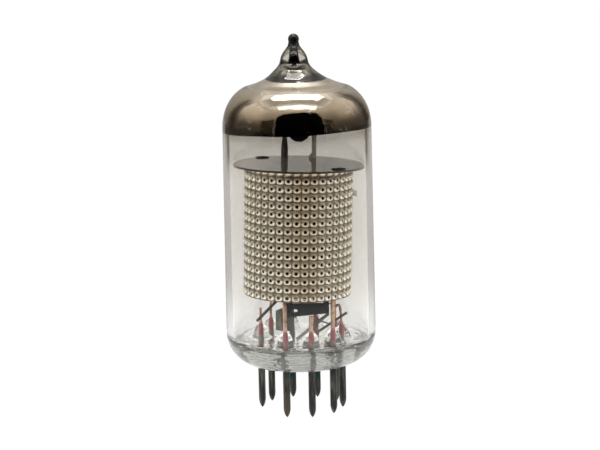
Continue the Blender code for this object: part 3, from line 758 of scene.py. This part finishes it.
tab_fold = mica_top + TAB_GAP + TAB_SHEET / 2
tab_steps = [(TAB_LINE, TAB_FOOT), (TAB_LINE, tab_fold), (TAB_REACH, tab_fold)]
for name, angle in (("front", TAB_ANGLE), ("rear", TAB_ANGLE + pi)):
    path = [around(radius, angle, height) for radius, height in tab_steps]
    across = Vector((cos(angle), sin(angle), 0)) * TAB_WIDTH
    tab = on_mica(strip(f"folded_tab_{name}", path, across, TAB_SHEET))
    fit(f"folded_tab_{name}", tab, "black_coat", black_finish, f"shield_tab_{name}")


def matt_nickel(make):
    streak = grain(make, 0.25 * MM, (1, 1, 6), 4.0)
    stops = [(0.3, (0.34, 0.28, 0.21)), (0.55, (0.58, 0.52, 0.43)), (0.8, (0.80, 0.76, 0.68))]
    tone = ramp(make, streak, *stops)
    inputs = {"Base Color": tone, "Metallic": 0.4, "Roughness": streak * 0.3 + 0.3}
    inputs["Normal"] = bump(make, streak, 0.02 * MM)
    return inputs


def sooted_nickel(make):
    streak = grain(make, 0.3 * MM, (1, 1, 3), 4.0)
    stops = [(0.35, (0.03, 0.024, 0.016)), (0.55, (0.085, 0.073, 0.057)), (0.75, (0.26, 0.24, 0.20))]
    tone = ramp(make, streak, *stops)
    inputs = {"Base Color": tone, "Metallic": 0.3, "Roughness": 0.45}
    inputs["Normal"] = bump(make, streak, 0.02 * MM)
    return inputs


posts = {
    "left": {
        "place": -1.88 * MM,
        "width": 0.92 * MM,
        "still": -1.88 * MM,
        "waists": [(37.8, 1.12), (39.2, 0.72)],
        "slot": "black_coat",
        "finish": finish_of(sooted_nickel),
    },
    "right": {
        "place": 2.55 * MM,
        "width": 0.7 * MM,
        "still": 2.9 * MM,
        "waists": [(36.6, 1.6), (36.9, 1.0)],
        "slot": "bright_nickel",
        "finish": finish_of(matt_nickel),
    },
}
for side, post in posts.items():
    heights = [POST_FOOT, *(height * MM for height, _ in post["waists"]), POST_BEND]
    path = [Vector((post["place"], POST_DEPTH, height)) for height in heights]
    path.append(Vector((post["place"], POST_DEPTH - POST_REACH, POST_BEND)))
    mesh = strip(f"cup_post_{side}", path, Vector((post["width"], 0, 0)), POST_SHEET)
    mesh = tilted(drawn(mesh, post["still"], *post["waists"]), CUP_PIVOT, Vector())
    fit(f"cup_post_{side}", mesh, post["slot"], post["finish"], f"getter_post_{side}")


# Getter cup
# A pressed cup that held the getter metal. It was flashed on to the dome once the tube was pumped out, and
# the empty cup is left black.

CUP_PLACE = millimetres(0.25, 4.9, 0)
CUP_RADIUS = 1.72 * MM
CUP_BOTTOM = 38.8 * MM
CUP_RIM = 40.9 * MM
CUP_FLANGE = 2.55 * MM
CUP_SHEET = 0.15 * MM
CUP_STEPS = 64


def arc(centre, radii, start, end, steps):
    """(radius, height) points on an ellipse, from start to end degrees."""
    angles = [radians(start + (end - start) * i / steps) for i in range(steps + 1)]
    return [(centre[0] + radii[0] * cos(a), centre[1] + radii[1] * sin(a)) for a in angles]


bowl_centre = (0, CUP_BOTTOM + CUP_RADIUS)
inside = CUP_RADIUS - CUP_SHEET
bowl = arc(bowl_centre, (CUP_RADIUS, CUP_RADIUS), 0, -90, 12)
hollow = arc(bowl_centre, (inside, inside), -90, 0, 12)
bowl[-1] = (0, CUP_BOTTOM)
hollow[0] = (0, CUP_BOTTOM + CUP_SHEET)
flange = [(CUP_FLANGE, CUP_RIM), (CUP_FLANGE, CUP_RIM - CUP_SHEET), (CUP_RADIUS, CUP_RIM - CUP_SHEET)]
cup_rings = [ring(r, z, CUP_STEPS) for r, z in [*flange, *bowl, *hollow, (inside, CUP_RIM)]]
cup = skin("getter_bowl", cup_rings, closed=True)
cup.transform(Matrix.Translation(CUP_PLACE))
cup = tilted(cup, CUP_PIVOT, Vector())
fit("getter_bowl", cup, "black_coat", black_finish, "getter_cup")


# Wiring under the shield
# A black strap with an oval hole hangs under the shield, and a grey folded plate stands behind the first
# lead. Thin heat-browned wires cross from the leads to the heater, the cathode and the control grid.

JUMPER_RADIUS = 0.22 * MM
CROSS_WIRE_RADIUS = 0.19 * MM
WELD_RADIUS = 0.26 * MM
WELD_BEND = 0.2 * MM


def heat_browned(make):
    streak = grain(make, 0.4 * MM, (1, 1, 2), 4.0)
    stops = [(0.3, (0.022, 0.016, 0.012)), (0.55, (0.075, 0.052, 0.038)), (0.8, (0.17, 0.12, 0.09))]
    brown = ramp(make, streak, *stops)
    return {"Base Color": brown, "Metallic": 0.6, "Roughness": streak * 0.35 + 0.3}


def heat_greyed(make):
    cloud = grain(make, 1.6 * MM, (1, 1, 2), 4.0)
    speck = grain(make, 0.15 * MM, (1, 1, 1), 5.0)
    stops = [(0.3, (0.024, 0.024, 0.018)), (0.5, (0.062, 0.061, 0.047)), (0.72, (0.145, 0.14, 0.11))]
    grey = ramp(make, cloud, *stops)
    inputs = {"Base Color": grey, "Metallic": 0.6, "Roughness": speck * 0.3 + 0.3}
    inputs["Normal"] = bump(make, speck, 0.012 * MM)
    return inputs


def rusted(make):
    cloud = grain(make, 0.4 * MM, (1, 1, 1), 5.0)
    brown = ramp(make, cloud, (0.3, (0.03, 0.02, 0.015)), (0.7, (0.11, 0.075, 0.055)))
    rust = ramp(make, cloud, (0.3, (0.085, 0.028, 0.016)), (0.7, (0.24, 0.095, 0.06)))
    tone = mixed(make, between(make, along(make, "X"), 2.9 * MM, 2.5 * MM), brown, rust)
    inputs = {"Base Color": tone, "Metallic": 0.4, "Roughness": cloud * 0.3 + 0.4}
    inputs["Normal"] = bump(make, cloud, 0.04 * MM)
    return inputs


def greyed_ribbon(make):
    cloud = grain(make, 0.5 * MM, (1, 1, 1), 5.0)
    olive = ramp(make, cloud, (0.3, (0.055, 0.045, 0.03)), (0.7, (0.13, 0.11, 0.08)))
    grey = ramp(make, cloud, (0.3, (0.18, 0.175, 0.155)), (0.7, (0.34, 0.33, 0.30)))
    tone = mixed(make, between(make, height_of(make), 13.4 * MM, 12.4 * MM), olive, grey)
    return {"Base Color": tone, "Metallic": 0.4, "Roughness": cloud * 0.3 + 0.3}


brown_finish = finish_of(heat_browned)
repaint(black_finish, "shield_strap")
repaint(finish_of(heat_greyed), "base_plate")
jumper_places = [(-1.5, 16.4), (-3.2, 16.4), (-6.45, 13.15)]
jumper_run = [millimetres(x, -0.12, z) for x, z in jumper_places]
jumper = wire("grid_jumper", bent(jumper_run), JUMPER_RADIUS)
fit("grid_jumper", jumper, "brown_wire", brown_finish, "control_grid_jumper")
tie_run = [
    millimetres(2.5, -1.4, 13.5),
    millimetres(1.95, -1.42, 13.0),
    millimetres(2.4, -1.4, 12.65),
    millimetres(1.9, -1.42, 12.2),
    millimetres(2.3, -1.38, 11.55),
    millimetres(6.72, -0.98, 14.35),
]
cross = wire("cross_wire", tie_run[-2:], CROSS_WIRE_RADIUS)
weld = wire("weld_fold", bent(tie_run[:-1], WELD_BEND), WELD_RADIUS)
tie = shaded(joined("heater_cross_wire", cross, weld))
fit("heater_cross_wire", tie, "brown_wire", finish_of(rusted), "heater_tie")
repaint(finish_of(greyed_ribbon), "cathode_ribbon")


# Glass envelope
# A blown bulb sealed to a pressed button stem, so that the two are one piece of clear glass. The pump tube is
# melted off at the top into a pointed tip with a dark bead, and a mound of glass grips each wire below.

OVERALL_HEIGHT = 55.0 * MM
BEAD_RADIUS = 0.79 * MM
WALL = 0.9 * MM
SHOULDER = (5.5 * MM, 41.8 * MM)
SHOULDER_RISE = 6.13 * MM
SHOULDER_SWEEP = 66
INNER_SWEEP = 78
TOP_RADIUS = 10.73 * MM
BASE_RADIUS = 10.92 * MM
SEAT = 7.0 * MM
SKIRT = (6.4 * MM, 11.8 * MM)
FLOOR = 10.5 * MM
FLOOR_RADIUS = 9.2 * MM
CORNER_RISE = 0.8 * MM
MOUND_TOP = 12.6 * MM
MOUND_RADIUS = 1.12 * MM
GLASS_STEPS = 360
TIP_LEAN = 0.23 * MM
LEAN_FOOT = 48.2 * MM
LEAN_TOP = 50.0 * MM
BORE_TOP = 53.5 * MM
WIDEST = BASE_RADIUS - WALL


def smooth(points, steps):
    """Points along a Catmull-Rom curve through the given points, without its first one."""
    ends = [points[0], *points, points[-1]]
    curve = []
    for before, start, end, after in zip(ends, ends[1:], ends[2:], ends[3:]):
        for i in range(1, steps + 1):
            t = i / steps
            weights = (-t + 2 * t**2 - t**3, 2 - 5 * t**2 + 3 * t**3, t + 4 * t**2 - 3 * t**3, t**3 - t**2)
            four = (before, start, end, after)
            curve.append(tuple(sum(w * p[k] for w, p in zip(weights, four)) / 2 for k in (0, 1)))
    return curve


def outline(*points):
    return [(r * MM, z * MM) for r, z in points]


def floor_height(x, y):
    """The stem's upper face: a level floor with a flat-topped mound at every wire."""
    height = FLOOR
    for number in range(1, PIN_COUNT + 1):
        pin = pin_place(number)
        away = min(((x - pin.x) ** 2 + (y - pin.y) ** 2) ** 0.5 / MOUND_RADIUS, 1.9)
        height = max(height, FLOOR + (MOUND_TOP - FLOOR) * (1 - away**2 / 4) / (1 + away**7))
    return height


def floor_ring(radius):
    return [(x, y, floor_height(x, y)) for x, y, _ in ring(radius, 0, GLASS_STEPS)]


def leaned(mesh):
    """The mesh with its tip a little to the left, as the flame left it."""
    for point in mesh.vertices:
        share = min(max((point.co.z - LEAN_FOOT) / (LEAN_TOP - LEAN_FOOT), 0), 1)
        point.co.x -= TIP_LEAN * share**2 * (3 - 2 * share)
    return mesh


def between_plain(make, value, low, high):
    """The place of a value between two others, as a share."""
    return make.node("ShaderNodeMapRange", None, {"Value": value, "From Min": low, "From Max": high})


def clear_glass():
    made, make = new_finish("clear_glass")
    height = height_of(make)
    # The glass's colour by height: partly its own tint, and partly painted shade, darker towards the dome and
    # darkest just under the getter film's edge, for the dimmer room seen through the glass.
    stops = [
        (9.4, (0.84, 0.85, 0.825)),
        (10.2, (0.945, 0.94, 0.93)),
        (18, (0.84, 0.828, 0.81)),
        (28, (0.775, 0.76, 0.733)),
        (35, (0.775, 0.755, 0.725)),
        (38.9, (0.71, 0.688, 0.652)),
        (39.6, (0.68, 0.657, 0.62)),
        (40.3, (0.61, 0.587, 0.55)),
        (41.0, (0.49, 0.468, 0.435)),
        (41.5, (0.49, 0.468, 0.435)),
        (42.4, (0.88, 0.84, 0.785)),
        (46.4, (0.88, 0.84, 0.785)),
        (47.5, (0.955, 0.95, 0.94)),
        (50.3, (0.93, 0.92, 0.90)),
        (51.0, (0.56, 0.54, 0.495)),
        (52.6, (0.56, 0.54, 0.495)),
    ]
    low, high = 9, 52.6
    share = between_plain(make, height / MM, low, high)
    tint_and_shade = ramp(make, share, *(((z - low) / (high - low), colour) for z, colour in stops))
    bead = between(make, height, 53.15 * MM, 53.5 * MM)
    tint_and_shade = mixed(make, bead, tint_and_shade, (0.004, 0.004, 0.004))
    flow = grain(make, 1.3 * MM, (2.6, 2.6, 0.5), 3.0)
    pressed = between(make, height, 11.6 * MM, 10.9 * MM)
    inputs = {"Base Color": tint_and_shade, "Roughness": 0.0, "IOR": 1.5, "Transmission Weight": 1.0}
    inputs["Normal"] = bump(make, flow * pressed, 0.25 * MM)
    shader = make.node("ShaderNodeBsdfPrincipled", inputs=inputs)
    haze = between(make, height, 10.4 * MM, 10.0 * MM) * 0.10
    milky = make.node("ShaderNodeBsdfDiffuse", inputs={"Color": (0.80, 0.81, 0.775, 1)})
    shader = make.node("ShaderNodeMixShader", inputs={0: haze, 1: shader, 2: milky})
    smoky = {"Color": (0.80, 0.81, 0.785, 1), "Density": 150.0}
    depth = make.node("ShaderNodeVolumeAbsorption", inputs=smoky)
    make.node("ShaderNodeOutputMaterial", inputs={"Surface": shader, "Volume": depth})
    return made


bead = arc((0, OVERALL_HEIGHT - BEAD_RADIUS), (BEAD_RADIUS, BEAD_RADIUS), 90, -25, 12)
bead[0] = (0, OVERALL_HEIGHT)
shoulder = arc(SHOULDER, (TOP_RADIUS - SHOULDER[0], SHOULDER_RISE), SHOULDER_SWEEP, 0, 20)
neck = outline((0.86, 53.3), (1.11, 52.93), (1.53, 52.38), (1.83, 51.83), (1.98, 51.29), (2.13, 50.74))
flare = outline((2.5, 50.2), (3.06, 49.65), (3.72, 49.1), (4.54, 48.56), (5.92, 47.93))
neck = smooth([bead[-1], *neck, *flare, shoulder[0]], 4)
skirt = arc(SKIRT, (BASE_RADIUS - SKIRT[0], SKIRT[1] - SEAT), 0, -90, 20)
outer = [ring(r, z, GLASS_STEPS) for r, z in [*bead, *neck, *shoulder[1:], *skirt, (0, SEAT)]]

inner_radii = (TOP_RADIUS - WALL - SHOULDER[0], SHOULDER_RISE - WALL)
inner_shoulder = arc(SHOULDER, inner_radii, 0, INNER_SWEEP, 24)
inner_flare = outline((5.2, 47.25), (4.25, 47.73), (3.23, 48.36), (2.46, 48.98), (1.83, 49.62))
tip_bore = outline((1.15, 50.25), (0.64, 50.7), (0.48, 51.3), (0.43, 52.1), (0.32, 52.75), (0.25, 53.2))
inner_neck = smooth([inner_shoulder[-1], *inner_flare, *tip_bore], 4)
corner = arc((FLOOR_RADIUS, FLOOR + CORNER_RISE), (WIDEST - FLOOR_RADIUS, CORNER_RISE), -90, 0, 12)
lining = [*corner[1:], *inner_shoulder, *inner_neck]
bore_end = outline((0.16, 53.45))
floor_radii = [*np.linspace(0.4, 4.2, 8), *np.linspace(4.3, 7.6, 48), *np.linspace(7.8, 9.2, 6)]
cavity = [[(0, 0, FLOOR)], *(floor_ring(r * MM) for r in floor_radii)]
cavity += [ring(r, z, GLASS_STEPS) for r, z in [*lining, *bore_end]]
cavity.append([(0, 0, BORE_TOP)])

glass = joined("glass_envelope", skin("envelope_outside", outer), skin("envelope_inside", cavity))
glass = leaned(shaded(glass, 60))
envelope = fit("glass_envelope", glass, "clear_glass", clear_glass(), "glass_bulb", "glass_stem")
envelope.visible_shadow = False
envelope.visible_diffuse = False


# Getter film
# The getter metal, flashed on to the inside of the dome as a silvery brown mirror. It thins to dark brown
# along its lower edge, which runs a little lower at the left, and that darkening is also a painted reflection
# of a dim room low down. It is painted dark again in the mouth of the tip, as painted shade.

FILM_GAP = -0.02 * MM
FILM_THICKNESS = 0.06 * MM
FILM_EDGE = 41.35 * MM
FILM_LEAN = 0.25 * MM
FILM_SWING = 0.15 * MM
FILM_RIPPLE = 0.04 * MM
FILM_RINGS = 60
FILM_FOOT = (WIDEST - 0.2 * MM, 38 * MM)


def film_mirror(make):
    height = height_of(make)
    cloud = grain(make, 3.0 * MM, (1, 1, 0.6), 4.0)
    crack = grain(make, 1.6 * MM, (1, 1, 0.7), 0.0, "ShaderNodeTexVoronoi", "Distance")
    level = height / MM + (cloud - 0.5)
    low, high = 41.0, 48.0
    # Darker towards the lower edge: partly the film thinning there, and partly a painted reflection of the
    # dim room low down.
    stops = [
        (41.6, (0.080, 0.058, 0.036)),
        (42.4, (0.115, 0.085, 0.054)),
        (43.3, (0.24, 0.183, 0.118)),
        (44.3, (0.44, 0.36, 0.258)),
        (45.3, (0.66, 0.57, 0.445)),
        (46.5, (0.85, 0.745, 0.61)),
        (47.2, (0.96, 0.85, 0.72)),
    ]
    stops = [((z - low) / (high - low), colour) for z, colour in stops]
    tone = ramp(make, between_plain(make, level, low, high), *stops)
    # In the mouth of the tip the film is painted dark, as painted shade where clear glass shows the dark
    # inside. Lighter bands follow up the neck, and a black core fills the bore.
    throat = [
        (47.85, 47.97, (0.020, 0.018, 0.014)),
        (48.6, 49.3, (0.46, 0.43, 0.375)),
        (50.0, 50.4, (0.62, 0.59, 0.53)),
        (50.5, 50.6, (0.008, 0.008, 0.007)),
    ]
    for foot, top, colour in throat:
        tone = mixed(make, between(make, height, foot * MM, top * MM), tone, colour)
    frosted = between(make, height, 46.45 * MM, 46.95 * MM) * between(make, height, 47.97 * MM, 47.85 * MM)
    warped = grain(make, 1.5 * MM, (1, 1, 0.5), 3.0, out="Color")
    place = make.node("ShaderNodeTexCoord", out="Object")
    place = make.node("ShaderNodeVectorMath", {"operation": "SCALE"}, {0: place, "Scale": 1 / (3.2 * MM)})
    place = make.node("ShaderNodeVectorMath", {"operation": "ADD"}, {0: place, 1: warped})
    settings = {"feature": "DISTANCE_TO_EDGE"}
    crease = make.node("ShaderNodeTexVoronoi", settings, {"Vector": place, "Scale": 1.0})
    crease = between(make, crease, 0.032, 0.0) * between(make, cloud, 0.48, 0.60)
    tone = mixed(make, crease * 0.6, tone, (1.0, 0.95, 0.84))
    inputs = {"Base Color": tone, "Metallic": 1.0}
    inputs["Roughness"] = frosted * 0.3 + cloud * 0.03 + crease * 0.12 + 0.01
    inputs["Normal"] = bump(make, crack, 0.012 * MM)
    return inputs


film_path = np.array([FILM_FOOT, *inner_shoulder, *inner_neck])
film_steps = np.hypot(*np.diff(film_path, axis=0).T)
film_lengths = np.concatenate([[0], np.cumsum(film_steps)])
film_normals = np.gradient(film_path, axis=0)
film_normals /= np.hypot(*film_normals.T)[:, None]


def film_point(angle, share, inset):
    """A point of the film, by its angle round the axis and its share of the way up from the edge."""
    edge = FILM_EDGE + FILM_LEAN * cos(angle) - FILM_SWING * sin(angle) + FILM_RIPPLE * sin(5 * angle)
    start = np.interp(edge, film_path[:, 1], film_lengths)
    place = start + (film_lengths[-1] - start) * share
    radius = np.interp(place, film_lengths, film_path[:, 0])
    height = np.interp(place, film_lengths, film_path[:, 1])
    inward = np.interp(place, film_lengths, film_normals[:, 1])
    down = np.interp(place, film_lengths, film_normals[:, 0])
    radius -= inward * inset
    return (radius * cos(angle), radius * sin(angle), height + down * inset)


film_angles = [2 * pi * i / GLASS_STEPS for i in range(GLASS_STEPS)]
shares = np.linspace(1, 0, FILM_RINGS)
film_rings = [[film_point(a, s, FILM_GAP) for a in film_angles] for s in shares]
film_rings += [[film_point(a, s, FILM_GAP + FILM_THICKNESS) for a in film_angles] for s in shares[::-1]]
lining_mesh = leaned(skin("mirror_lining", film_rings, closed=True))
fit("mirror_lining", lining_mesh, "mirror_film", finish_of(film_mirror), "getter_film")


# Studio
# A plain pale floor in an even white surround, with three soft lamps. What is glossy also shows a dim room:
# bright strips and a pale ceiling overhead, a black flag round the camera, and a soft window each side.

CAMERA_PLACE = millimetres(0, -277.68, 76.14)
CAMERA_PITCH = radians(9.986)
CAMERA_YAW = radians(0.031)
CAMERA_ROLL = radians(-1.2)
IMAGE_WIDTH = 600
FOCAL_PIXELS = 1942.6

camera_data = bpy.data.cameras.new("camera")
camera_data.sensor_width = 36
camera_data.lens = FOCAL_PIXELS / IMAGE_WIDTH * camera_data.sensor_width
camera_data.clip_start = 0.01
camera = placed("camera", camera_data)
aim = Matrix.Rotation(-CAMERA_YAW, 4, "Z") @ Matrix.Rotation(pi / 2 - CAMERA_PITCH, 4, "X")
camera.matrix_world = Matrix.Translation(CAMERA_PLACE) @ aim @ Matrix.Rotation(CAMERA_ROLL, 4, "Z")
bpy.context.scene.camera = camera


def seen_rays(make):
    """1 for rays that show a thing to the camera, straight or through glass or in a mirror."""
    path = "ShaderNodeLightPath"
    straight = make.node(path, out="Is Camera Ray")
    through = make.node(path, out="Is Transmission Ray")
    reflected = make.node(path, out="Is Glossy Ray")
    return make.math("MAXIMUM", make.math("MAXIMUM", straight, through), reflected)


AMBIENT = 0.75
AMBIENT_ABOVE = 0.4


def white_surround():
    """A world that is plain white to look at but a dimmer light on the tube, dimmest from above."""
    world = bpy.data.worlds.new("surround")
    world.use_nodes = True
    world.node_tree.nodes.clear()
    make = Socket(world.node_tree)
    way = make.node("ShaderNodeTexCoord", out="Generated")
    up = between(make, along(make, "Z", way), 0.05, 0.5)
    fill = AMBIENT - up * (AMBIENT - AMBIENT_ABOVE)
    strength = seen_rays(make) * (1 - fill) + fill
    sky = make.node("ShaderNodeBackground", inputs={"Color": (1, 1, 1, 1), "Strength": strength})
    make.node("ShaderNodeOutputWorld", inputs={"Surface": sky})
    return world


bpy.context.scene.world = white_surround()
STUDIO_WIDTH = 6
LAMP_WIDTH = 0.3
CEILING_FADE = (0.44, 0.22)
SCREEN_RADIUS = 0.9
SCREEN_HEIGHT = 1.2
SCREEN_STEPS = 96
MIRRORED_LEVEL = 0.4 * MM
BOUNCE_LEVEL = 0.8 * MM


def panel(name, width, depth, place, target, rounded=0.0):
    """A flat card that faces a target; one with rounded corners is also narrower at the top."""
    body = bmesh.new()
    bmesh.ops.create_grid(body, x_segments=1, y_segments=1, size=0.5)
    if rounded:
        for point in body.verts:
            point.co.x *= 0.9 - point.co.y * 0.2
        bmesh.ops.bevel(body, geom=body.verts, offset=rounded, segments=8, profile=0.5, affect="VERTICES")
    way = (target - place).to_track_quat("Z", "Y").to_matrix().to_4x4()
    size = Matrix.Diagonal((width, depth, 1, 1))
    body.transform(Matrix.Translation(place) @ way @ size)
    card = placed(name, mesh_of(name, body))
    return card


def studio_floor():
    made, make = new_finish("studio_floor")
    speck = grain(make, 1.5 * MM, (1, 1, 1), 3.0)
    pale = ramp(make, speck, (0.3, (0.86, 0.86, 0.86)), (0.7, (0.90, 0.90, 0.90)))
    matt = make.node("ShaderNodeBsdfDiffuse", inputs={"Color": pale})
    white = make.node("ShaderNodeEmission", inputs={"Color": (1, 1, 1, 1), "Strength": 1.02})
    share = seen_rays(make) * 0.58 + 0.4
    whole = make.node("ShaderNodeMixShader", inputs={0: share, 1: matt, 2: white})
    make.node("ShaderNodeOutputMaterial", inputs={"Surface": whole})
    return made


floor = panel("floor", STUDIO_WIDTH, STUDIO_WIDTH, Vector((0, 0, 0)), Vector((0, 0, 1)))
floor.data.materials.append(studio_floor())


def soft_lamp(name, place, target, watts):
    """A square lamp that lights the tube but shows in neither its mirror nor its glass."""
    data = bpy.data.lights.new(name, "AREA")
    data.shape = "SQUARE"
    data.size = LAMP_WIDTH
    data.energy = watts
    lamp = placed(name, data)
    lamp.location = place
    lamp.rotation_euler = (place - target).to_track_quat("Z", "Y").to_euler()
    lamp.visible_glossy = False
    lamp.visible_transmission = False


dome_centre = millimetres(0, 0, 45)
lamps = {
    "lamp_left": (Vector((-0.49, -0.12, 0.20)), 2.4),
    "lamp_right": (Vector((0.49, -0.10, 0.20)), 2.25),
    "lamp_above": (Vector((0, -0.05, 0.55)), 1.0),
}
for name, (place, watts) in lamps.items():
    soft_lamp(name, place, dome_centre, watts)


def glowing(make, colour, strength, fewest=0, most=99, cover=1.0):
    """Ends a card's material in a light that shows to rays that met a mirror, and so many faces of glass."""
    light = make.node("ShaderNodeEmission", inputs={"Color": colour, "Strength": strength})
    clear = make.node("ShaderNodeBsdfTransparent")
    mirrors = make.node("ShaderNodeLightPath", out="Glossy Depth")
    faces = make.node("ShaderNodeLightPath", out="Transmission Depth")
    share = make.math("MINIMUM", mirrors, 1.0) * make.math("LESS_THAN", faces, most + 0.5)
    share = share * make.math("GREATER_THAN", faces, fewest - 0.5) * cover
    whole = make.node("ShaderNodeMixShader", inputs={0: share, 1: clear, 2: light})
    make.node("ShaderNodeOutputMaterial", inputs={"Surface": whole})


def mirrored(card, light):
    """Makes a card one that only shows in what is glossy, straight or through the glass."""
    card.data.materials.append(light)
    card.visible_camera = False
    card.visible_diffuse = False
    card.visible_shadow = False


cards = {
    "strip_above": (0.38, 0.08, (0, -0.175, 0.42), (1, 0.98, 0.95), 4.0, 0, 2),
    "strip_behind": (0.30, 0.105, (0, 0.0875, 0.42), (1, 0.98, 0.95), 5.0, 1, 2),
    "strip_middle": (0.24, 0.09, (0, 0.05, 0.419), (1, 0.96, 0.88), 7.0, 0, 0),
    "strip_edge": (0.26, 0.016, (0, 0.102, 0.419), (1, 0.98, 0.95), 20.0, 0, 0),
    "ceiling": (0.9, 0.30, (0, 0.01, 0.55), (1, 1, 0.94), 0.45, 0, 99),
    "camera_flag": (0.46, 0.33, (0.02, -0.24, 0.10), (1, 1, 1), 0.003, 0, 99, 0.2),
    "camera_rim": (0.475, 0.33, (0.02, -0.242, 0.10), (1, 0.98, 0.95), 1.4, 0, 99, 0.2),
    "flag_wings": (1.07, 0.375, (0, -0.31, 0.064), (0.9, 0.8, 0.65), 0.12, 0, 99),
}
for name, (width, depth, place, colour, strength, fewest, most, *rounded) in cards.items():
    card = panel(name, width, depth, Vector(place), dome_centre, *rounded)
    light, make = new_finish(name)
    cover = 1.0
    if name == "ceiling":
        cover = between(make, make.math("ABSOLUTE", along(make, "X")), *CEILING_FADE)
    glowing(make, (*colour, 1), strength, fewest, most, cover)
    mirrored(card, light)


def around_card(make):
    """How far round from the front a card's point is, either way, and how far out from the tube."""
    place = make.node("ShaderNodeTexCoord", out="Object")
    flat = make.node("ShaderNodeVectorMath", {"operation": "MULTIPLY"}, {0: place, 1: (1, 1, 0)})
    return angle_of(make, flat), length_of(make, flat)


def round_card(name, light, *profile):
    """A card turned about the tube's axis."""
    card = placed(name, turned(name, profile, SCREEN_STEPS))
    mirrored(card, light)


def floor_light():
    """The floor as the mirror shows it: dark in front, dim far off at the sides, and white close by."""
    made, make = new_finish("floor_mirrored")
    turn, out = around_card(make)
    away = make.math("ABSOLUTE", turn)
    aside = between(make, away, radians(48), radians(110))
    shade = mixed(make, aside, (0.025, 0.025, 0.025), (0.66, 0.64, 0.62))
    far = between(make, out, 0.22, 0.30) * between(make, away, radians(150), radians(140))
    shade = mixed(make, aside * far, shade, (0.17, 0.155, 0.14))
    shade = mixed(make, between(make, out, 0.10, 0.045), shade, (1, 1, 1))
    glowing(make, shade, 1.0, 0, 2)
    return made


def bounce_light():
    """The bright floor as the pieces inside the glass show it."""
    made, make = new_finish("floor_bounce")
    glowing(make, (1, 0.98, 0.94, 1), 2.1, 3)
    return made


def room_light():
    """The room as the mirror shows it: dim low down, with a soft window and a dark corner each side."""
    made, make = new_finish("room_screen")
    turn, _ = around_card(make)
    away = make.math("ABSOLUTE", turn - radians(8))
    height = height_of(make)
    share = height / SCREEN_HEIGHT
    stops = [(0.1, (0.27, 0.25, 0.22)), (0.35, (0.44, 0.41, 0.37)), (0.8, (0.72, 0.70, 0.67))]
    sides = ramp(make, share, *stops)
    stops = [(0.2, (0.43, 0.42, 0.40)), (0.6, (0.45, 0.435, 0.41)), (1.0, (0.6, 0.58, 0.55))]
    back = ramp(make, share, *stops)
    inside = make.math("GREATER_THAN", make.node("ShaderNodeLightPath", out="Transmission Depth"), 2.5)
    back = mixed(make, inside, back, (1, 1, 1))
    behind = between(make, away, radians(138), radians(150))
    colour = mixed(make, behind, sides, back)
    dark = ramp(make, share, (0.15, (0.10, 0.09, 0.08)), (0.7, (0.19, 0.175, 0.155)))
    corner = between(make, away, radians(119), radians(128)) * between(make, away, radians(147), radians(139))
    colour = mixed(make, corner * between(make, share, 0.85, 0.55), colour, dark)
    near = between(make, away, radians(56), radians(86)) * between(make, away, radians(128), radians(119))
    level = between(make, make.math("ABSOLUTE", height - 0.66), 0.5, 0.16)
    window = mixed(make, between(make, turn, -1.0, 1.0), (1.0, 0.97, 0.91), (0.84, 0.81, 0.76))
    colour = mixed(make, near * level, colour, window)
    glowing(make, colour, 1.0)
    return made


round_card("floor_mirrored", floor_light(), (SCREEN_RADIUS, MIRRORED_LEVEL), (0.04, MIRRORED_LEVEL))
round_card("floor_bounce", bounce_light(), (SCREEN_RADIUS, BOUNCE_LEVEL), (0.012, BOUNCE_LEVEL))
round_card("room_screen", room_light(), (SCREEN_RADIUS, SCREEN_HEIGHT), (SCREEN_RADIUS, 0))

bpy.context.scene.view_settings.view_transform = "Standard"
